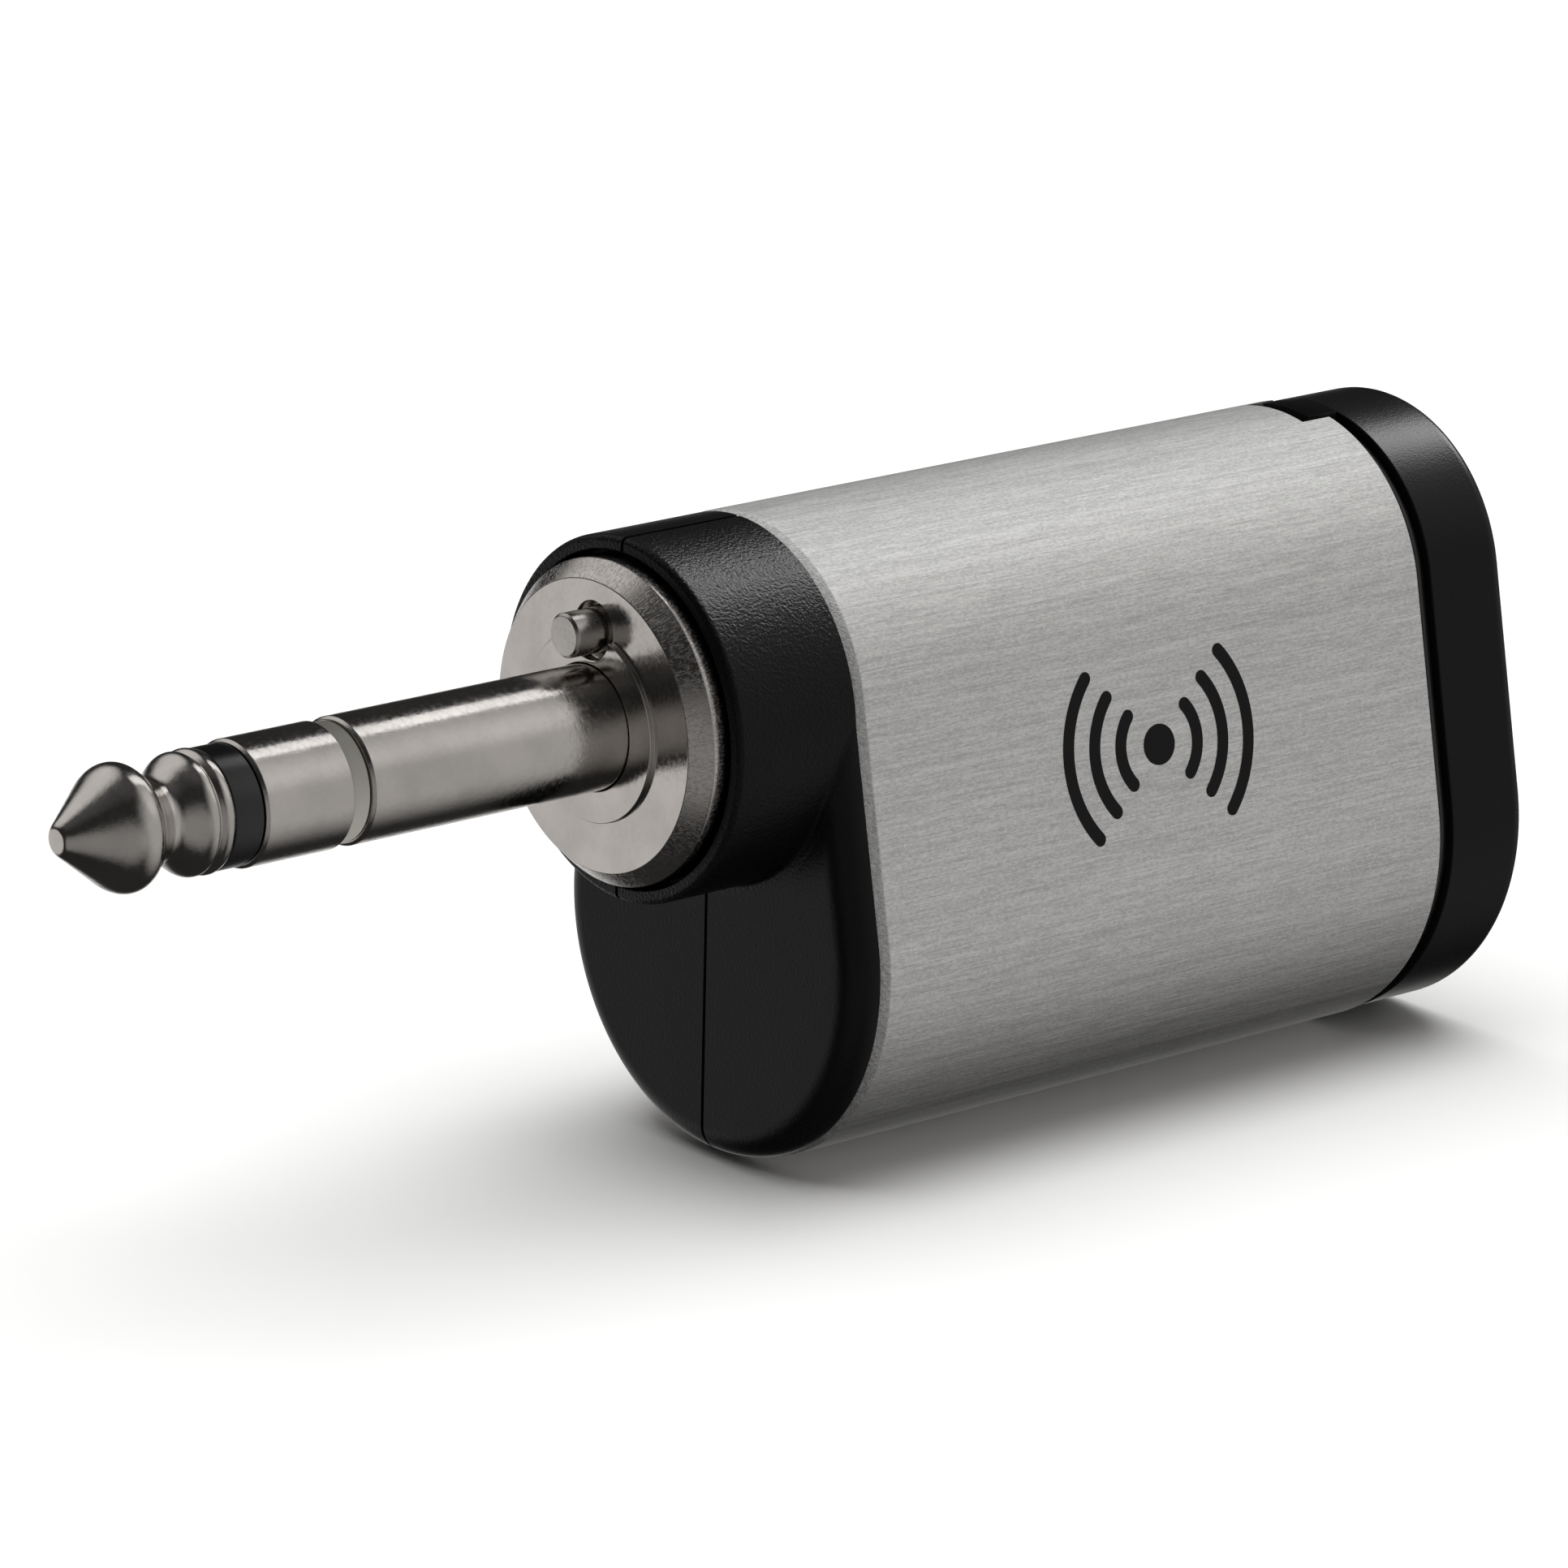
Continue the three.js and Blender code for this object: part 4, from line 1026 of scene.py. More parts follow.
@dataclass
class Plug:
    """The 6.35 mm stereo plug: tip, ring and sleeve contacts with insulators between them."""

    radius: float = 3.175
    tip_end: float = -32.2
    tip_back: float = -24.0
    ring_front: float = -22.2
    ring_rear: float = -17.05
    ring_radius: float = 3.15
    black_rear: float = -22.3
    black_radius: float = 3.0
    pale_rear: float = -16.0
    pale_radius: float = 2.98
    gap: float = 0.05
    metal_bevel: float = 0.15
    plastic_bevel: float = 0.05
    black_tube: Point = (0.9, 1.2)
    ring_tube: Point = (1.3, 1.75)
    pale_tube: Point = (1.85, 2.2)
    sleeve_front: float = -15.9
    rod: float = 0.8
    rod_rear: float = 12.8
    sleeve_bore: float = 2.3
    stagger: float = 1.0
    sides: int = 144
    edge: float = 0.045

    def tip_outline(self) -> list[Point]:
        """Gives the tip's outline: flat end, cone, ball, neck, flared bead and rod."""
        end, back = self.tip_end, self.tip_back
        points = [(end, 0.0), (end, 0.5)]
        points += bow((end, 0.5), (end, 0.66), (end + 0.1, 0.8), (end + 0.35, 0.98), 6)
        points += bow((-31.85, 0.98), (-31.2, 1.5), (-30.55, 2.02), (-29.9, 2.55), 4)
        points += bow((-29.9, 2.55), (-29.35, 3.05), (-28.95, self.radius), (-28.6, self.radius - 0.02), 16)
        points += bow((-28.6, self.radius - 0.02), (-27.8, 3.1), (-27.45, 2.1), (-26.7, 2.0), 20)
        points += bow((-26.7, 2.0), (-26.1, 1.95), (-25.7, 2.95), (-25.1, 3.02), 16)
        points += bow((-25.1, 3.02), (-24.94, 3.04), (-24.82, 2.98), (-24.74, 2.87), 8)
        points += bow((-24.74, 2.87), (-24.7, 2.83), (-24.64, 2.86), (-24.58, 2.93), 5)
        points += bow((-24.58, 2.93), (-24.42, 3.12), (-24.2, 3.1), (back, 3.0), 8)
        return [*points, (back, self.rod), (self.rod_rear, self.rod), (self.rod_rear, 0.0)]

    def band(self, name: str, span: Point, radius: float, bevel: float, tube: Point, tail: float) -> Solid:
        """Makes one visible band with the thin tube that carries it back through the plug.

        Args:
            name: The piece's name.
            span: Where the band starts and ends.
            radius: The band's radius.
            bevel: The bevel at its front edge.
            tube: The tube's inner and outer radii.
            tail: Where the tube ends.

        Returns:
            The solid.
        """
        front, rear = span
        inner, outer = tube
        outline = softened([
            (front, inner, 0), (front, radius - bevel, self.edge), (front + bevel, radius, self.edge),
            (rear, radius, self.edge), (rear, outer, 0), (tail, outer, 0), (tail, inner, 0),
        ], closed=True)
        return turned(name, outline, self.sides, closed=True)

    def build(self) -> None:
        """Builds and dresses the plug's five pieces."""
        tip = turned("plug_tip_fine", self.tip_outline(), self.sides)
        tip.dress(NICKEL, Slot.NICKEL, Edges.SOFT, ("plug_tip",))
        tails = [self.rod_rear - step * self.stagger for step in (1, 2, 3)]
        spans = (
            (self.tip_back + self.gap, self.black_rear), (self.ring_front, self.ring_rear),
            (self.ring_rear + self.gap, self.pale_rear),
        )
        metal, plastic = self.metal_bevel, self.plastic_bevel
        black = self.band(
            "tip_insulator_fine", spans[0], self.black_radius, plastic, self.black_tube, tails[0]
        )
        black.dress(BLACK_INSULATOR, Slot.INSULATOR, Edges.CRISP, ("tip_insulator",))
        ring = self.band("ring_contact_fine", spans[1], self.ring_radius, metal, self.ring_tube, tails[1])
        ring.dress(NICKEL, Slot.NICKEL, Edges.SOFT, ("ring_contact",))
        pale = self.band("ring_insulator_fine", spans[2], self.pale_radius, plastic, self.pale_tube, tails[2])
        pale.dress(PALE_INSULATOR, Slot.PALE, Edges.CRISP, ("ring_insulator",))
        tail = self.rod_rear - 4 * self.stagger + 0.2
        outline = softened([
            (self.sleeve_front, self.sleeve_bore, 0), (self.sleeve_front, self.radius - metal, self.edge),
            (self.sleeve_front + metal, self.radius, self.edge), (tail, self.radius, 0),
            (tail, self.sleeve_bore, 0),
        ], closed=True)
        sleeve = turned("plug_sleeve_fine", outline, self.sides, closed=True)
        sleeve.dress(NICKEL, Slot.NICKEL, Edges.SOFT, ("plug_sleeve",))


@dataclass
class ShoulderPlate:
    """The nickel plate that meets the guitar's socket, with a raised platform and the pin's mouth."""

    radius: float = 8.26
    face_radius: float = 7.39
    bevel: float = 0.98
    disc_rear: float = 3.0
    neck_radius: float = 7.1
    flange_front: float = 5.7
    flange_radius: float = 7.9
    rear: float = 7.4
    platform_height: float = 0.3
    platform_radius: float = 4.83
    bore: float = 3.23
    rim: float = 0.05
    sides: int = 240
    mouth_radius: float = 1.5
    mouth_depth: float = 0.3
    guide_radius: float = 1.2
    cavity_radius: float = 1.8
    cavity_front: float = 2.8
    tapped_radius: float = 0.7
    tapped_depth: float = 2.2

    def build(self, pin: "SensingPin") -> None:
        """Builds and dresses the plate.

        Args:
            pin: The pin that runs in it.
        """
        top = -self.platform_height
        outline = softened([
            (top, self.bore, self.rim), (top, self.platform_radius, self.rim),
            (0, self.platform_radius, 0.03), (0, self.face_radius, 0.06), (self.bevel, self.radius, 0.09),
            (self.disc_rear, self.radius, self.rim),
            (self.disc_rear, self.neck_radius, 0), (self.flange_front, self.neck_radius, 0),
            (self.flange_front, self.flange_radius, 0), (self.rear, self.flange_radius, 0),
            (self.rear, self.bore, 0),
        ], closed=True)
        plate = turned("shoulder_plate_fine", outline, self.sides, closed=True)
        mouth, guide = self.mouth_radius, self.guide_radius
        hole = turned("pin_mouth", [
            (-1, 0), (-1, mouth + 0.05), (top, mouth + 0.05), (top + 0.05, mouth), (self.mouth_depth, mouth),
            (2 * self.mouth_depth, guide), (self.cavity_front, guide),
            (self.cavity_front, self.cavity_radius),
            (self.rear + 1, self.cavity_radius), (self.rear + 1, 0),
        ], 64, height=pin.height)
        plate.combine(Cut.REMOVE, hole)
        for side in (-1, 1):
            front = self.rear - self.tapped_depth
            thread = turned("tapped_hole", [
                (front, 0), (front, self.tapped_radius), (self.rear + 1, self.tapped_radius),
                (self.rear + 1, 0),
            ], 32, height=pin.height)
            plate.combine(Cut.REMOVE, thread.moved(Matrix.Translation((0, side * pin.screw_offset, 0))))
        plate.dress(FACE_NICKEL, Slot.NICKEL, Edges.CRISP, ("shoulder_plate",))


@dataclass
class SensingPin:
    """The spring-loaded pin that the guitar's socket presses in, with its return spring."""

    height: float = 4.9
    radius: float = 1.13
    front: float = -1.9
    collar: Point = (3.0, 3.6)
    collar_radius: float = 1.6
    tail_radius: float = 0.7
    tail_rear: float = 9.4
    bevel: float = 0.13
    sides: int = 96
    screw_offset: float = 3.1
    spring_radius: float = 1.3
    wire_radius: float = 0.15
    turns: int = 5
    spring_front: float = 3.85
    spring_rear: float = 7.25
    travel: float = 1.6

    def build(self) -> None:
        """Builds and dresses the pin and its spring."""
        front, rear = self.collar
        outline = softened([
            (self.front, 0, 0), (self.front, self.radius - self.bevel, 0.03),
            (self.front + self.bevel, self.radius, 0.04),
            (front, self.radius, 0), (front, self.collar_radius, 0.05), (rear, self.collar_radius, 0.05),
            (rear, self.tail_radius, 0), (self.tail_rear, self.tail_radius, 0.1), (self.tail_rear, 0, 0),
        ])
        pin = turned("sense_pin_fine", outline, self.sides, height=self.height)
        pin.dress(PIN_STEEL, Slot.PIN, Edges.CRISP, ("sense_pin",), Body.PIN)
        self.build_spring()

    def build_spring(self) -> None:
        """Builds the return spring at its length with the pin out."""
        steps = 36 * self.turns
        route = []
        for i in range(steps + 1):
            share = i / steps
            angle = 2 * math.pi * self.turns * share
            x = self.spring_front + (self.spring_rear - self.spring_front) * share
            route.append(Vector((
                x, self.spring_radius * math.cos(angle), self.height + self.spring_radius * math.sin(angle)
            )))
        spring = swept("pin_spring_fine", route, self.wire_radius, 12)
        spring.dress(SPRING_STEEL, Slot.SPRING, Edges.CRISP, ("pin_spring",))
        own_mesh(spring.obj)


# ---------------------------------------------------------------- the casing


@dataclass
class FrontHousing:
    """The black front housing in two halves: a round boss over an egg-shaped flange and spigot."""

    inset: float = 0.1
    boss_radius: float = 9.28
    boss_front: float = 1.7
    boss_rounding: float = 0.35
    step_face: float = 7.5
    step_rounding: float = 1.6
    valley: float = 0.22
    rear: float = 9.1
    spigot_rear: float = 14.0
    spigot_inset: float = 0.75
    spigot_wall: float = 1.3
    seam: float = 0.22
    recess_radius: float = 8.5
    recess_lip: float = 0.09
    recess_floor: float = 3.3
    neck_bore: float = 7.35
    wall_rear: float = 5.4
    boss_cavity: float = 8.15
    post_x: float = 11.3
    post_heights: Point = (-11.3, -18.8)
    post_radius: float = 2.45
    post_reach: float = 13.0
    post_bore: float = 1.05
    bore_end: float = 5.0
    head_well: float = 2.0
    screw_seat: float = -6.2
    slices: int = 288
    edge: float = 0.05

    def flat_reach(self, angle: float, depth: float) -> float:
        """Gives how wide the flange's flat front face is in one slice.

        Args:
            angle: The direction of the slice, in radians up from +Y.
            depth: How deep under the flange's side the boss meets it.

        Returns:
            The distance from the boss to where the rounding starts.
        """
        if depth <= self.step_rounding:
            return 0.0
        return max(0.0, SECTION.radius(angle, self.inset + self.step_rounding) - self.boss_radius)

    def flange_point(self, angle: float, depth: float, along: float) -> Point:
        """Gives a point on the flange's front, measured outwards from the boss.

        Args:
            angle: The direction of the slice, in radians up from +Y.
            depth: How deep under the flange's side the boss meets it.
            along: The distance from the boss, along the surface.

        Returns:
            The (X, radius) point.
        """
        reach = self.step_rounding
        flat = self.flat_reach(angle, depth)
        if along < flat:
            return (self.step_face, self.boss_radius + along)
        first = math.asin(1 - min(depth, reach) / reach)
        turn = min(first + (along - flat) / reach, math.pi / 2)
        x = self.step_face + reach * (1 - math.cos(turn))
        return (x, SECTION.radius(angle, self.inset + reach * (1 - math.sin(turn))))

    def slice(self, angle: float) -> list[Point]:
        """Gives the outer outline of one slice through the plug's axis.

        Args:
            angle: The direction of the slice, in radians up from +Y.

        Returns:
            The (X, radius) points from the front to the rear, always the same number.
        """
        radius, rounding, face = self.boss_radius, self.boss_rounding, self.boss_front
        start = radius - rounding
        points = [(face, start * share) for share in (0, 0.3, 0.6, 0.9)]
        for i in range(7):
            turn = math.pi / 2 * i / 6
            points.append((face + rounding * (1 - math.cos(turn)), start + rounding * math.sin(turn)))
        depth = SECTION.inset(angle, radius) - self.inset
        if depth <= 0:
            points += [(self.rear - 1, radius)] * 3 + [(self.rear, radius)] * 31
            return [*points, (self.rear, 0)]
        reach = self.step_rounding
        flat = self.flat_reach(angle, depth)
        length = flat + reach * (math.pi / 2 - math.asin(1 - min(depth, reach) / reach))
        soft = min(self.valley, length / 2)
        corner = Vector(self.flange_point(angle, depth, 0.0))
        before = Vector((corner.x - soft, radius))
        after = Vector(self.flange_point(angle, depth, soft))
        straight = before.x - face - rounding
        points += [(face + rounding + straight * share, radius) for share in (0.33, 0.66)]
        for i in range(9):
            t = i / 8
            points.append(tuple(before * (1 - t) ** 2 + corner * (2 * t * (1 - t)) + after * t * t))
        turn_starts = max(flat, soft)
        for i in range(1, 8):
            points.append(self.flange_point(angle, depth, soft + (turn_starts - soft) * i / 7))
        for i in range(1, 17):
            points.append(self.flange_point(angle, depth, turn_starts + (length - turn_starts) * i / 16))
        return [*points, (self.rear, 0)]

    def outside(self) -> Solid:
        """Makes the boss and the flange as one solid, with a soft valley between them."""
        rings = []
        for i in range(self.slices):
            angle = math.pi / 2 + 2 * math.pi * i / self.slices
            points = self.slice(angle)
            rings.append([(x, r * math.cos(angle), r * math.sin(angle)) for x, r in points])
        count = len(rings[0])
        places = [place for ring in rings for place in ring]
        faces = []
        for i in range(self.slices):
            near, far = i * count, (i + 1) % self.slices * count
            faces += [(near + k, near + k + 1, far + k + 1, far + k) for k in range(count - 1)]
        return Solid("front_housing", places, faces)

    def whole(self) -> Solid:
        """Makes the whole housing before it is split: hollow, with its posts and screw wells."""
        spigot = egg("spigot", [(self.rear - 0.5, self.spigot_inset), (self.spigot_rear, self.spigot_inset)])
        lip, face, reach = self.recess_lip, self.boss_front, self.recess_radius
        recess = turned("recess", [
            (0, 0), (0, reach + lip), (face, reach + lip),
            *bow((face, reach + lip), (face + lip / 2, reach + lip / 2),
                 (face + lip, reach + lip / 4), (face + 2 * lip, reach), 4),
            (self.recess_floor, reach), (self.recess_floor, self.neck_bore), (self.wall_rear, self.neck_bore),
            (self.wall_rear, self.boss_cavity), (self.rear + 1, self.boss_cavity), (self.rear + 1, 0),
        ], 240)
        inner = self.spigot_inset + self.spigot_wall
        cavity = egg("cavity", [(self.rear, inner), (self.spigot_rear + 1, inner)])
        posts, wells = [], []
        for z in self.post_heights:
            post = self.across("post", self.post_radius, (-self.post_reach, self.post_reach), z)
            posts.append(post.combine(Cut.COMMON, spigot.copied("post_limit")))
            wells.append(self.across("bore", self.post_bore, (self.screw_seat - 1, self.bore_end), z))
            wells.append(self.across("well", self.head_well, (-self.post_reach, self.screw_seat), z))
        housing = self.outside().combine(Cut.JOIN, spigot).combine(Cut.REMOVE, recess, cavity)
        return housing.combine(Cut.JOIN, *posts).combine(Cut.REMOVE, *wells)

    def across(self, name: str, radius: float, span: Point, z: float) -> Solid:
        """Makes a cylinder along Y at the posts.

        Args:
            name: The piece's name.
            radius: The cylinder's radius.
            span: Where it starts and ends along Y.
            z: The height of its axis.

        Returns:
            The solid.
        """
        start, end = span
        rod = turned(name, [(start, 0), (start, radius), (end, radius), (end, 0)], 48)
        return rod.moved(Matrix.Translation((self.post_x, 0, z)) @ Matrix.Rotation(math.pi / 2, 4, "Z"))

    def build(self) -> None:
        """Builds and dresses the two halves."""
        whole = self.whole()
        for side, name in ((-1, "front_housing_left"), (1, "front_housing_right")):
            near, far = sorted((side * self.seam / 2, side * BEYOND))
            half = whole.copied(f"{name}_fine")
            half.combine(Cut.COMMON, block("half", (0, near, -1.5 * BEYOND), (BEYOND, far, BEYOND)))
            half.dress(TEXTURED_BLACK, Slot.TEXTURED, Edges.CRISP, (name,))
        bpy.data.objects.remove(whole.obj)


@dataclass
class Sleeve:
    """The brushed metal sleeve with its bevelled front edge and the notch for the window."""

    front: float = 9.2
    rear: float = 47.5
    wall: float = 0.6
    bevel: float = 0.5
    bevel_depth: float = 0.3
    edge: float = 0.07
    notch_front: float = 45.5
    notch_half_width: float = 2.15

    def build(self) -> None:
        """Builds and dresses the sleeve."""
        stations = softened([
            (self.front, self.wall, 0), (self.front, self.bevel_depth, 0.05),
            (self.front + self.bevel, 0, self.edge), (self.rear, 0, 0.12), (self.rear, self.wall, 0),
        ], closed=True, steps=5)
        tube = egg("metal_tube_fine", stations, closed=True)
        half = self.notch_half_width
        notch = block("notch", (self.notch_front, -half, 0), (self.rear + 1, half, SECTION.top + 1))
        tube.combine(Cut.REMOVE, notch)
        tube.dress(BRUSHED, Slot.BRUSHED, Edges.CRISP, ("metal_tube",))


@dataclass
class RearEnd:
    """The rear frame in the sleeve's end, the snap-on rear cap and the status window."""

    frame_front: float = 42.0
    frame_rear: float = 48.4
    frame_inset: float = 0.75
    frame_wall: float = 1.25
    rib_front: float = 47.95
    rib_inset: float = 0.5
    cap_front: float = 48.5
    cap_rear: float = 53.9
    cap_inset: float = 0.1
    cap_rounding: float = 1.0
    cap_wall: float = 1.4
    window_front: float = 46.3
    window_half_width: float = 1.7
    window_radius: float = 9.28
    window_floor: float = 7.0
    window_gap: float = 0.15
    window_edge: float = 0.07
    pipe_inset: float = 0.4
    pipe_half: float = 0.8
    pipe_heights: Point = (5.7, 7.5)
    hook_height: float = -6.0
    hook_half: float = 1.6
    hook_gap: float = 0.3
    hook_slot: Point = (44.5, 46.0)
    tongue: Point = (7.3, 8.2)
    tongue_rear: float = 50.5
    tongue_front: float = 44.7
    root_front: float = 48.7
    root_reach: float = 9.6
    barb_rear: float = 45.9
    barb_reach: float = 9.1
    barb_tip: float = 8.4
    slot_gap: float = 0.2

    def build_frame(self) -> None:
        """Builds and dresses the recessed frame, with the window's slot and the hook openings."""
        inner = self.frame_inset + self.frame_wall
        stations = softened([
            (self.frame_front, inner, 0), (self.frame_front, self.frame_inset, 0.2),
            (self.rib_front, self.frame_inset, 0), (self.rib_front, self.rib_inset, 0.06),
            (self.frame_rear, self.rib_inset, 0.06), (self.frame_rear, inner, 0),
        ], closed=True)
        rear_frame = egg("rear_frame_fine", stations, closed=True)
        front, half = self.window_front - self.slot_gap, self.window_half_width + self.slot_gap
        slot = block("window_slot", (front, -half, 0), (self.frame_rear + 1, half, SECTION.top + 1))
        reach = self.hook_half + self.hook_gap
        low, high = self.hook_height - reach, self.hook_height + reach
        hooks = block("hook_slot", (self.hook_slot[0], -BEYOND, low), (self.hook_slot[1], BEYOND, high))
        rear_frame.combine(Cut.REMOVE, slot, hooks)
        rear_frame.dress(SMOOTH_BLACK, Slot.SMOOTH, Edges.CRISP, ("rear_frame",))

    def hook(self, side: int) -> Solid:
        """Makes one snap hook: a root on the cap's wall, a tongue and a barb that faces outwards.

        Args:
            side: -1 for the left hook and 1 for the right one.

        Returns:
            The solid.
        """
        inner, outer = self.tongue
        outline = softened([
            (self.tongue_front, inner, 0.1), (self.tongue_rear, inner, 0),
            (self.tongue_rear, self.root_reach, 0), (self.root_front, self.root_reach, 0),
            (self.root_front, outer, 0.1), (self.barb_rear, outer, 0.1),
            (self.barb_rear, self.barb_reach, 0.15), (self.tongue_front, self.barb_tip, 0.15),
        ], closed=True)
        heights = (self.hook_height - self.hook_half, self.hook_height + self.hook_half)
        return skin("snap_hook", [[(x, side * y, z) for x, y in outline] for z in heights], closed=False)

    def build_cap(self) -> None:
        """Builds and dresses the cap."""
        face, rounding = self.cap_rear, self.cap_rounding
        inner = self.cap_inset + self.cap_wall
        turns = [math.pi / 2 * i / 10 for i in range(11)]
        outer = [
            (face - rounding * (1 - math.sin(t)), self.cap_inset + rounding * (1 - math.cos(t)))
            for t in turns
        ]
        front = softened([
            (self.cap_front, inner, 0), (self.cap_front, self.cap_inset, 0.09),
            (face - rounding, self.cap_inset, 0),
        ])
        shell = [*front, *outer[1:]]
        solid_cap = egg("rear_cap_fine", [(self.cap_front, inner), *shell[1:]])
        hollow = egg("cap_hollow", [(self.cap_front - 1, inner), (self.cap_rear - self.cap_wall, inner)])
        solid_cap.combine(Cut.REMOVE, hollow)
        solid_cap.combine(Cut.JOIN, self.hook(-1), self.hook(1))
        solid_cap.dress(CAP_BLACK, Slot.TEXTURED, Edges.CRISP, ("rear_cap",))

    def build_window(self) -> None:
        """Builds and dresses the window with its light pipe."""
        front, rear = self.window_front, self.cap_front - self.window_gap
        half, thin, inset = self.window_half_width, self.pipe_half, self.pipe_inset
        low, high = self.pipe_heights
        head = block("status_window_fine", (front, -half, self.window_floor), (rear, half, SECTION.top + 1))
        pipe = block("light_pipe", (front + inset, -thin, low), (rear - inset, thin, high))
        radius, start, end = self.window_radius, 2 * BEYOND, 3 * BEYOND
        round_top = turned("window_round", [(start, 0), (start, radius), (end, radius), (end, 0)], 480)
        head.combine(Cut.JOIN, pipe).combine(Cut.COMMON, round_top)
        head.soften_edges(self.window_edge, sharper_than=60)
        head.dress(SMOKED_WINDOW, Slot.WINDOW, Edges.CRISP, ("status_window",))

    def build(self) -> None:
        """Builds all three pieces."""
        self.build_frame()
        self.build_cap()
        self.build_window()


@dataclass
class RadioMark:
    """The plain printed mark on the sleeve's left side: a dot with radio waves on both sides."""

    x: float = 28.6
    down: float = 5.4
    dot: float = 1.05
    waves: tuple[float, ...] = (2.6, 4.35, 6.1)
    half_line: float = 0.36
    opening: float = 42.0
    proud: Point = (0.004, 0.02)

    def shape(self, name: str, outline: list[Point]) -> Solid:
        """Makes one printed shape from its outline about the mark's middle.

        Args:
            name: The piece's name.
            outline: The shape's points.

        Returns:
            The solid.
        """
        rings = [
            [SECTION.on_flat(self.x + u, self.down - v, level) for u, v in outline] for level in self.proud
        ]
        return skin(name, rings, closed=False)

    def wave(self, radius: float, facing: float) -> list[Point]:
        """Gives the outline of one arc with round ends.

        Args:
            radius: The arc's radius.
            facing: The direction of its middle, in degrees.

        Returns:
            The outline's points.
        """
        low, high = (math.radians(facing + side * self.opening) for side in (-1, 1))
        steps = 28
        points = []
        for reach, start, end in ((radius + self.half_line, low, high), (radius - self.half_line, high, low)):
            for i in range(steps + 1):
                angle = start + (end - start) * i / steps
                points.append((reach * math.cos(angle), reach * math.sin(angle)))
            x, y = radius * math.cos(end), radius * math.sin(end)
            first = end if reach > radius else end + math.pi
            for i in range(1, 8):
                angle = first + math.pi * i / 8
                points.append((x + self.half_line * math.cos(angle), y + self.half_line * math.sin(angle)))
        return points

    def build(self) -> None:
        """Prints the dot and the waves."""
        round_points = 48
        angles = [2 * math.pi * i / round_points for i in range(round_points)]
        dot = [(self.dot * math.cos(a), self.dot * math.sin(a)) for a in angles]
        mark = self.shape("printed_radio_mark", dot)
        for radius in self.waves:
            for facing in (0.0, 180.0):
                mark.combine(Cut.JOIN, self.shape("wave", self.wave(radius, facing)))
        mark.dress(PRINTED_INK, Slot.SMOOTH, Edges.CRISP, ())


# ---------------------------------------------------------------- the inside


@dataclass
class Leads:
    """The insulated leads from the plug's lugs and from the battery to the board."""

    radius: float = 0.4
    routes: dict[str, tuple[Finish, list[Place]]] = field(default_factory=lambda: {
        "tip_lead": (WHITE_WIRE, [(12.7, 3, -1.9), (14, 3.6, -2.2), (16, 3.4, -2.4), (18.2, 2.6, -2.6)]),
        "ring_lead": (RED_WIRE, [(10.9, 2, -3.6), (13, 2.9, -4.4), (15.6, 3.2, -4.8), (18.2, 2.6, -5)]),
        "sleeve_lead": (BLACK_WIRE, [(9.2, 0.2, -5.6), (12, 1.6, -6.4), (15.4, 3, -7.2), (18.2, 2.6, -7.4)]),
        "battery_lead_positive": (RED_WIRE, [
            (15, -4.4, -6), (14.9, -3.4, -8), (14.9, 0, -11.5), (15.3, 3, -13.6), (17.9, 3.8, -14.4),
        ]),
        "battery_lead_negative": (BLACK_WIRE, [
            (15, -4.4, -8), (14.9, -3.4, -10), (14.9, 0, -13.5), (15.3, 3, -15.6), (17.9, 3.8, -16.4),
        ]),
    })

    def build(self) -> None:
        """Builds and dresses the leads."""
        for name, (finish, points) in self.routes.items():
            lead = swept(f"{name}_fine", smooth_route(points, 12), self.radius, 20)
            lead.dress(finish, Slot(finish.name), Edges.CRISP, (name,))


@dataclass
class CarriedPieces:
    """The inner pieces whose CAD shapes are right, with a finish for each."""

    finishes: dict[str, Finish] = field(default_factory=lambda: {
        "tip_lug": TINNED_BRASS, "ring_lug": TINNED_BRASS, "sleeve_lug": TINNED_BRASS,
        "antenna": TINNED_BRASS,
        "pin_retainer": ZINC_STEEL, "retainer_screw_left": ZINC_STEEL, "retainer_screw_right": ZINC_STEEL,
        "housing_screw_1": ZINC_STEEL, "housing_screw_2": ZINC_STEEL, "board_screw_1": ZINC_STEEL,
        "board_screw_2": ZINC_STEEL, "rf_shield": ZINC_STEEL, "crystal": ZINC_STEEL,
        "sense_switch": CHIP_EPOXY, "controller_chip": CHIP_EPOXY, "charger_chip": CHIP_EPOXY,
        "power_inductor": CHIP_EPOXY, "switch_plunger": PALE_INSULATOR, "battery_connector": PALE_INSULATOR,
        "inner_chassis": SMOOTH_BLACK, "main_board": BOARD_GREEN, "protection_board": BOARD_GREEN,
        "status_led": LED_RESIN, "battery": POUCH_FOIL, "battery_pad": FOAM_PAD,
    })

    def dress(self) -> None:
        """Gives each carried-over CAD node its finish."""
        for name, finish in self.finishes.items():
            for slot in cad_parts[name].material_slots:
                slot.material = finish.material()
            LOG.info("%s: carried over, %s", name, finish.name)


# ---------------------------------------------------------------- the studio


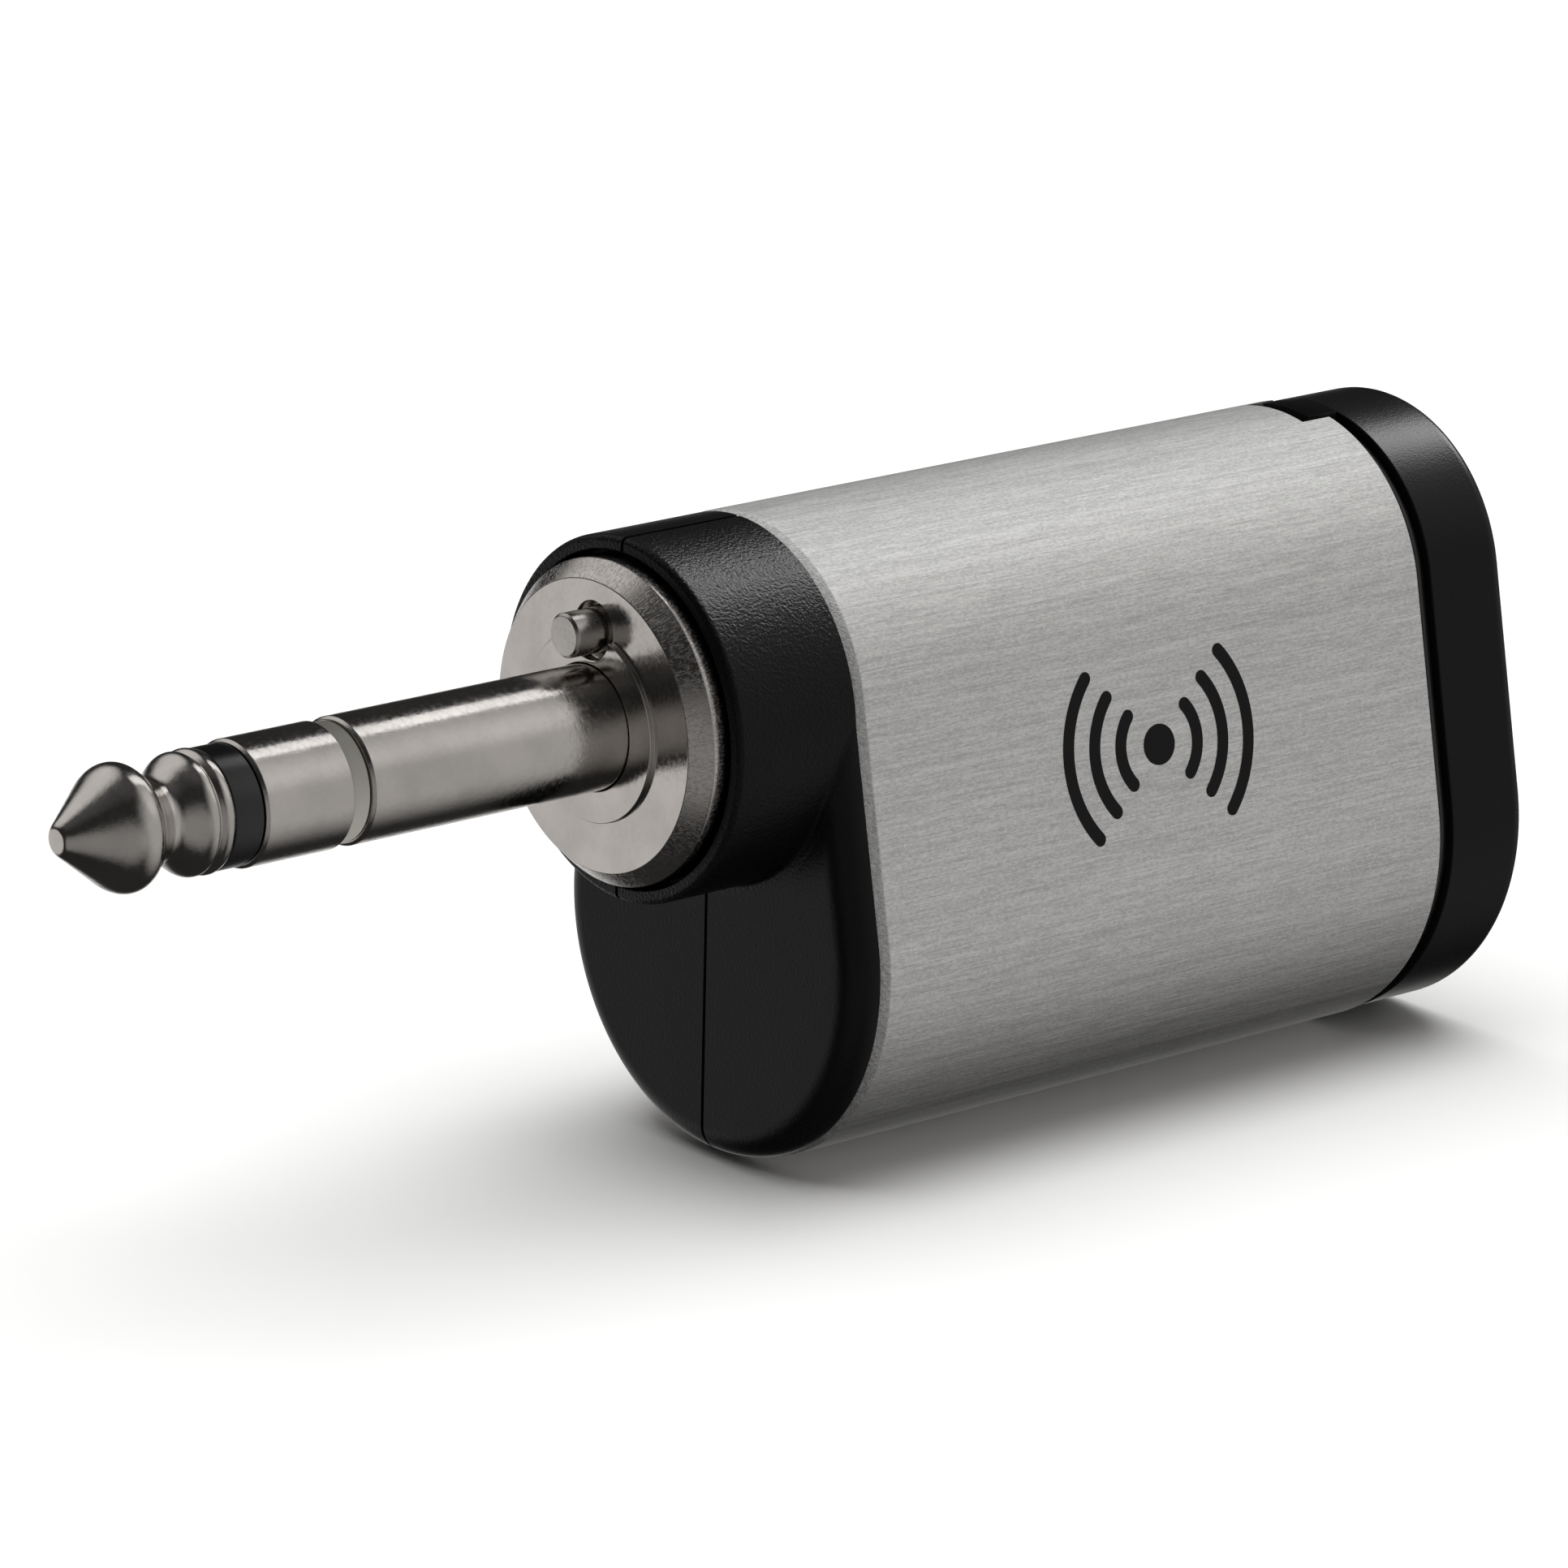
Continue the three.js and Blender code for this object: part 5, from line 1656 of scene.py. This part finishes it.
@dataclass(frozen=True)
class SoftBox:
    """One soft studio light.

    Attributes:
        name: The light's name.
        place: Where it is, in metres.
        size: The width and height of its face, in metres.
        power: Its power in watts.
        aim: Where it points, in metres.
    """

    name: str
    place: Place
    size: Point
    power: float
    aim: Place = (0.01, 0.0, -0.006)

    def build(self) -> bpy.types.Object:
        """Hangs the light and returns it."""
        lamp = bpy.data.lights.new(self.name, "AREA")
        lamp.shape = "RECTANGLE"
        lamp.size, lamp.size_y = self.size
        lamp.energy = self.power
        holder = bpy.data.objects.new(self.name, lamp)
        holder.location = self.place
        holder.rotation_euler = (Vector(self.aim) - Vector(self.place)).to_track_quat("-Z", "Y").to_euler()
        bpy.context.scene.collection.objects.link(holder)
        return holder


@dataclass(frozen=True)
class Glow:
    """A soft bright patch of the room round the object.

    Attributes:
        towards: The direction of its middle.
        full: The angle in degrees from its middle within which it is at full level.
        faded: The angle in degrees from its middle at which it has faded out.
        level: Its brightness.
    """

    towards: Place
    full: float
    faded: float
    level: float

    def shade(self, direction: tuple[Value, Value, Value]) -> Value:
        """Gives its brightness in a direction."""
        middle = Vector(self.towards).normalized()
        along = sum(part * share for part, share in zip(direction, middle))
        return along.step(math.cos(math.radians(self.faded)), math.cos(math.radians(self.full))) * self.level


def named(*starts: str) -> list[bpy.types.Object]:
    """Finds the pieces whose names start in one of some ways."""
    return [piece for piece in bpy.data.objects if piece.type == "MESH" and piece.name.startswith(starts)]


@dataclass
class Studio:
    """The pale floor, the soft lights, the room and the camera."""

    floor_reach: float = 3.0
    strip: SoftBox = SoftBox("overhead_strip", (0.42, 0.13, 0.51), (0.2, 0.8), 0.56)
    accent: SoftBox = SoftBox("plastic_accent", (0.43, 0.07, 0.54), (0.22, 0.8), 5.6)
    broad: SoftBox = SoftBox("sleeve_softbox", (0.37, 0.17, 0.43), (0.75, 0.55), 0.85)
    rim: SoftBox = SoftBox("sleeve_rim_light", (-0.06, 0.06, 0.6), (0.3, 0.5), 0.9)
    wash: SoftBox = SoftBox("floor_wash", (0.1, 0.1, 1.6), (2.0, 2.0), 42.0)
    glows: tuple[Glow, ...] = (
        Glow((0.6, -0.75, 0.1), 22, 78, 0.46),
        Glow((0.62, -0.28, 0.72), 12, 40, 0.26),
        Glow((-0.2, 0.75, 0.63), 10, 36, 0.7),
        Glow((-0.72, -0.62, -0.25), 8, 44, 0.26),
        Glow((-0.3, 0.1, 0.95), 5, 35, 0.05),
    )
    room: float = 0.026
    backdrop: float = 0.66
    camera_place: Place = (-0.25120, -0.30855, 0.11737)
    camera_right: Place = (0.76413, -0.64473, 0.02064)
    camera_up: Place = (0.17139, 0.23376, 0.95707)
    lens: float = 193.96
    sensor: float = 36.0

    def build_camera(self) -> None:
        """Sets the camera up."""
        lens = bpy.data.cameras.new("studio_camera")
        lens.sensor_width = self.sensor
        lens.lens = self.lens
        lens.clip_start = 0.01
        right, up = Vector(self.camera_right), Vector(self.camera_up)
        turn = Matrix((right, up, right.cross(up))).transposed()
        holder = bpy.data.objects.new("studio_camera", lens)
        holder.matrix_world = Matrix.Translation(self.camera_place) @ turn.to_4x4()
        bpy.context.scene.collection.objects.link(holder)
        bpy.context.scene.camera = holder

    def build_floor(self) -> None:
        """Lays the floor just under the body, with a light of its own that keeps it pale."""
        low = CAD_BOUNDS[0][2]
        reach = self.floor_reach
        corners = [(-reach, -reach, low), (reach, -reach, low), (reach, reach, low), (-reach, reach, low)]
        mesh = bpy.data.meshes.new("studio_floor")
        mesh.from_pydata(corners, [], [(0, 1, 2, 3)])
        mesh.materials.append(PAPER.material())
        floor = bpy.data.objects.new("studio_floor", mesh)
        bpy.context.scene.collection.objects.link(floor)
        floor.visible_glossy = False
        self.aim_only_at(self.wash.build(), [floor])

    def aim_only_at(self, light: bpy.types.Object, pieces: list[bpy.types.Object]) -> None:
        """Makes a light fall on some pieces only.

        Args:
            light: The light.
            pieces: The pieces that it falls on.
        """
        lit = bpy.data.collections.new(f"lit_by_{light.name}")
        for piece in pieces:
            lit.objects.link(piece)
        light.light_linking.receiver_collection = lit

    def build_room(self) -> None:
        """Makes a dim room with soft bright patches and a pale backdrop behind and below."""
        world = bpy.data.worlds.new("studio_room")
        bpy.context.scene.world = world
        graph = Graph(world)
        where = graph.node("ShaderNodeTexCoord").outputs["Generated"]
        parts = graph.node("ShaderNodeSeparateXYZ", inputs={0: where}).outputs
        direction = tuple(Value(graph, part) for part in parts)
        below = 0 - direction[2]
        behind = direction[1].step(0.3, 0.6) * below.step(0.03, 0.16) * (1 - below.step(0.5, 0.75))
        level = self.room + behind * self.backdrop
        for glow in self.glows:
            level = level + glow.shade(direction)
        sky = graph.node("ShaderNodeBackground", inputs={"Color": (1.0, 0.985, 0.97), "Strength": level})
        graph.node("ShaderNodeOutputWorld", inputs={"Surface": sky.outputs[0]})

    def build(self) -> None:
        """Builds the studio."""
        self.build_camera()
        self.build_floor()
        self.build_room()
        self.aim_only_at(self.strip.build(), named("plug", "tip", "ring", "shoulder", "sense_pin"))
        self.aim_only_at(self.accent.build(), named("front_housing", "rear_cap"))
        self.aim_only_at(self.broad.build(), named("metal_tube"))
        self.aim_only_at(self.rim.build(), named("metal_tube"))
        bpy.context.scene.view_settings.view_transform = "Standard"


def main() -> None:
    """Builds the transmitter's looks and the studio round it."""
    logging.basicConfig(level=logging.INFO, format="%(name)s: %(message)s")
    pin = SensingPin()
    Plug().build()
    ShoulderPlate().build(pin)
    pin.build()
    FrontHousing().build()
    Sleeve().build()
    RearEnd().build()
    RadioMark().build()
    Leads().build()
    CarriedPieces().dress()
    Studio().build()


if __name__ == "__main__":
    main()
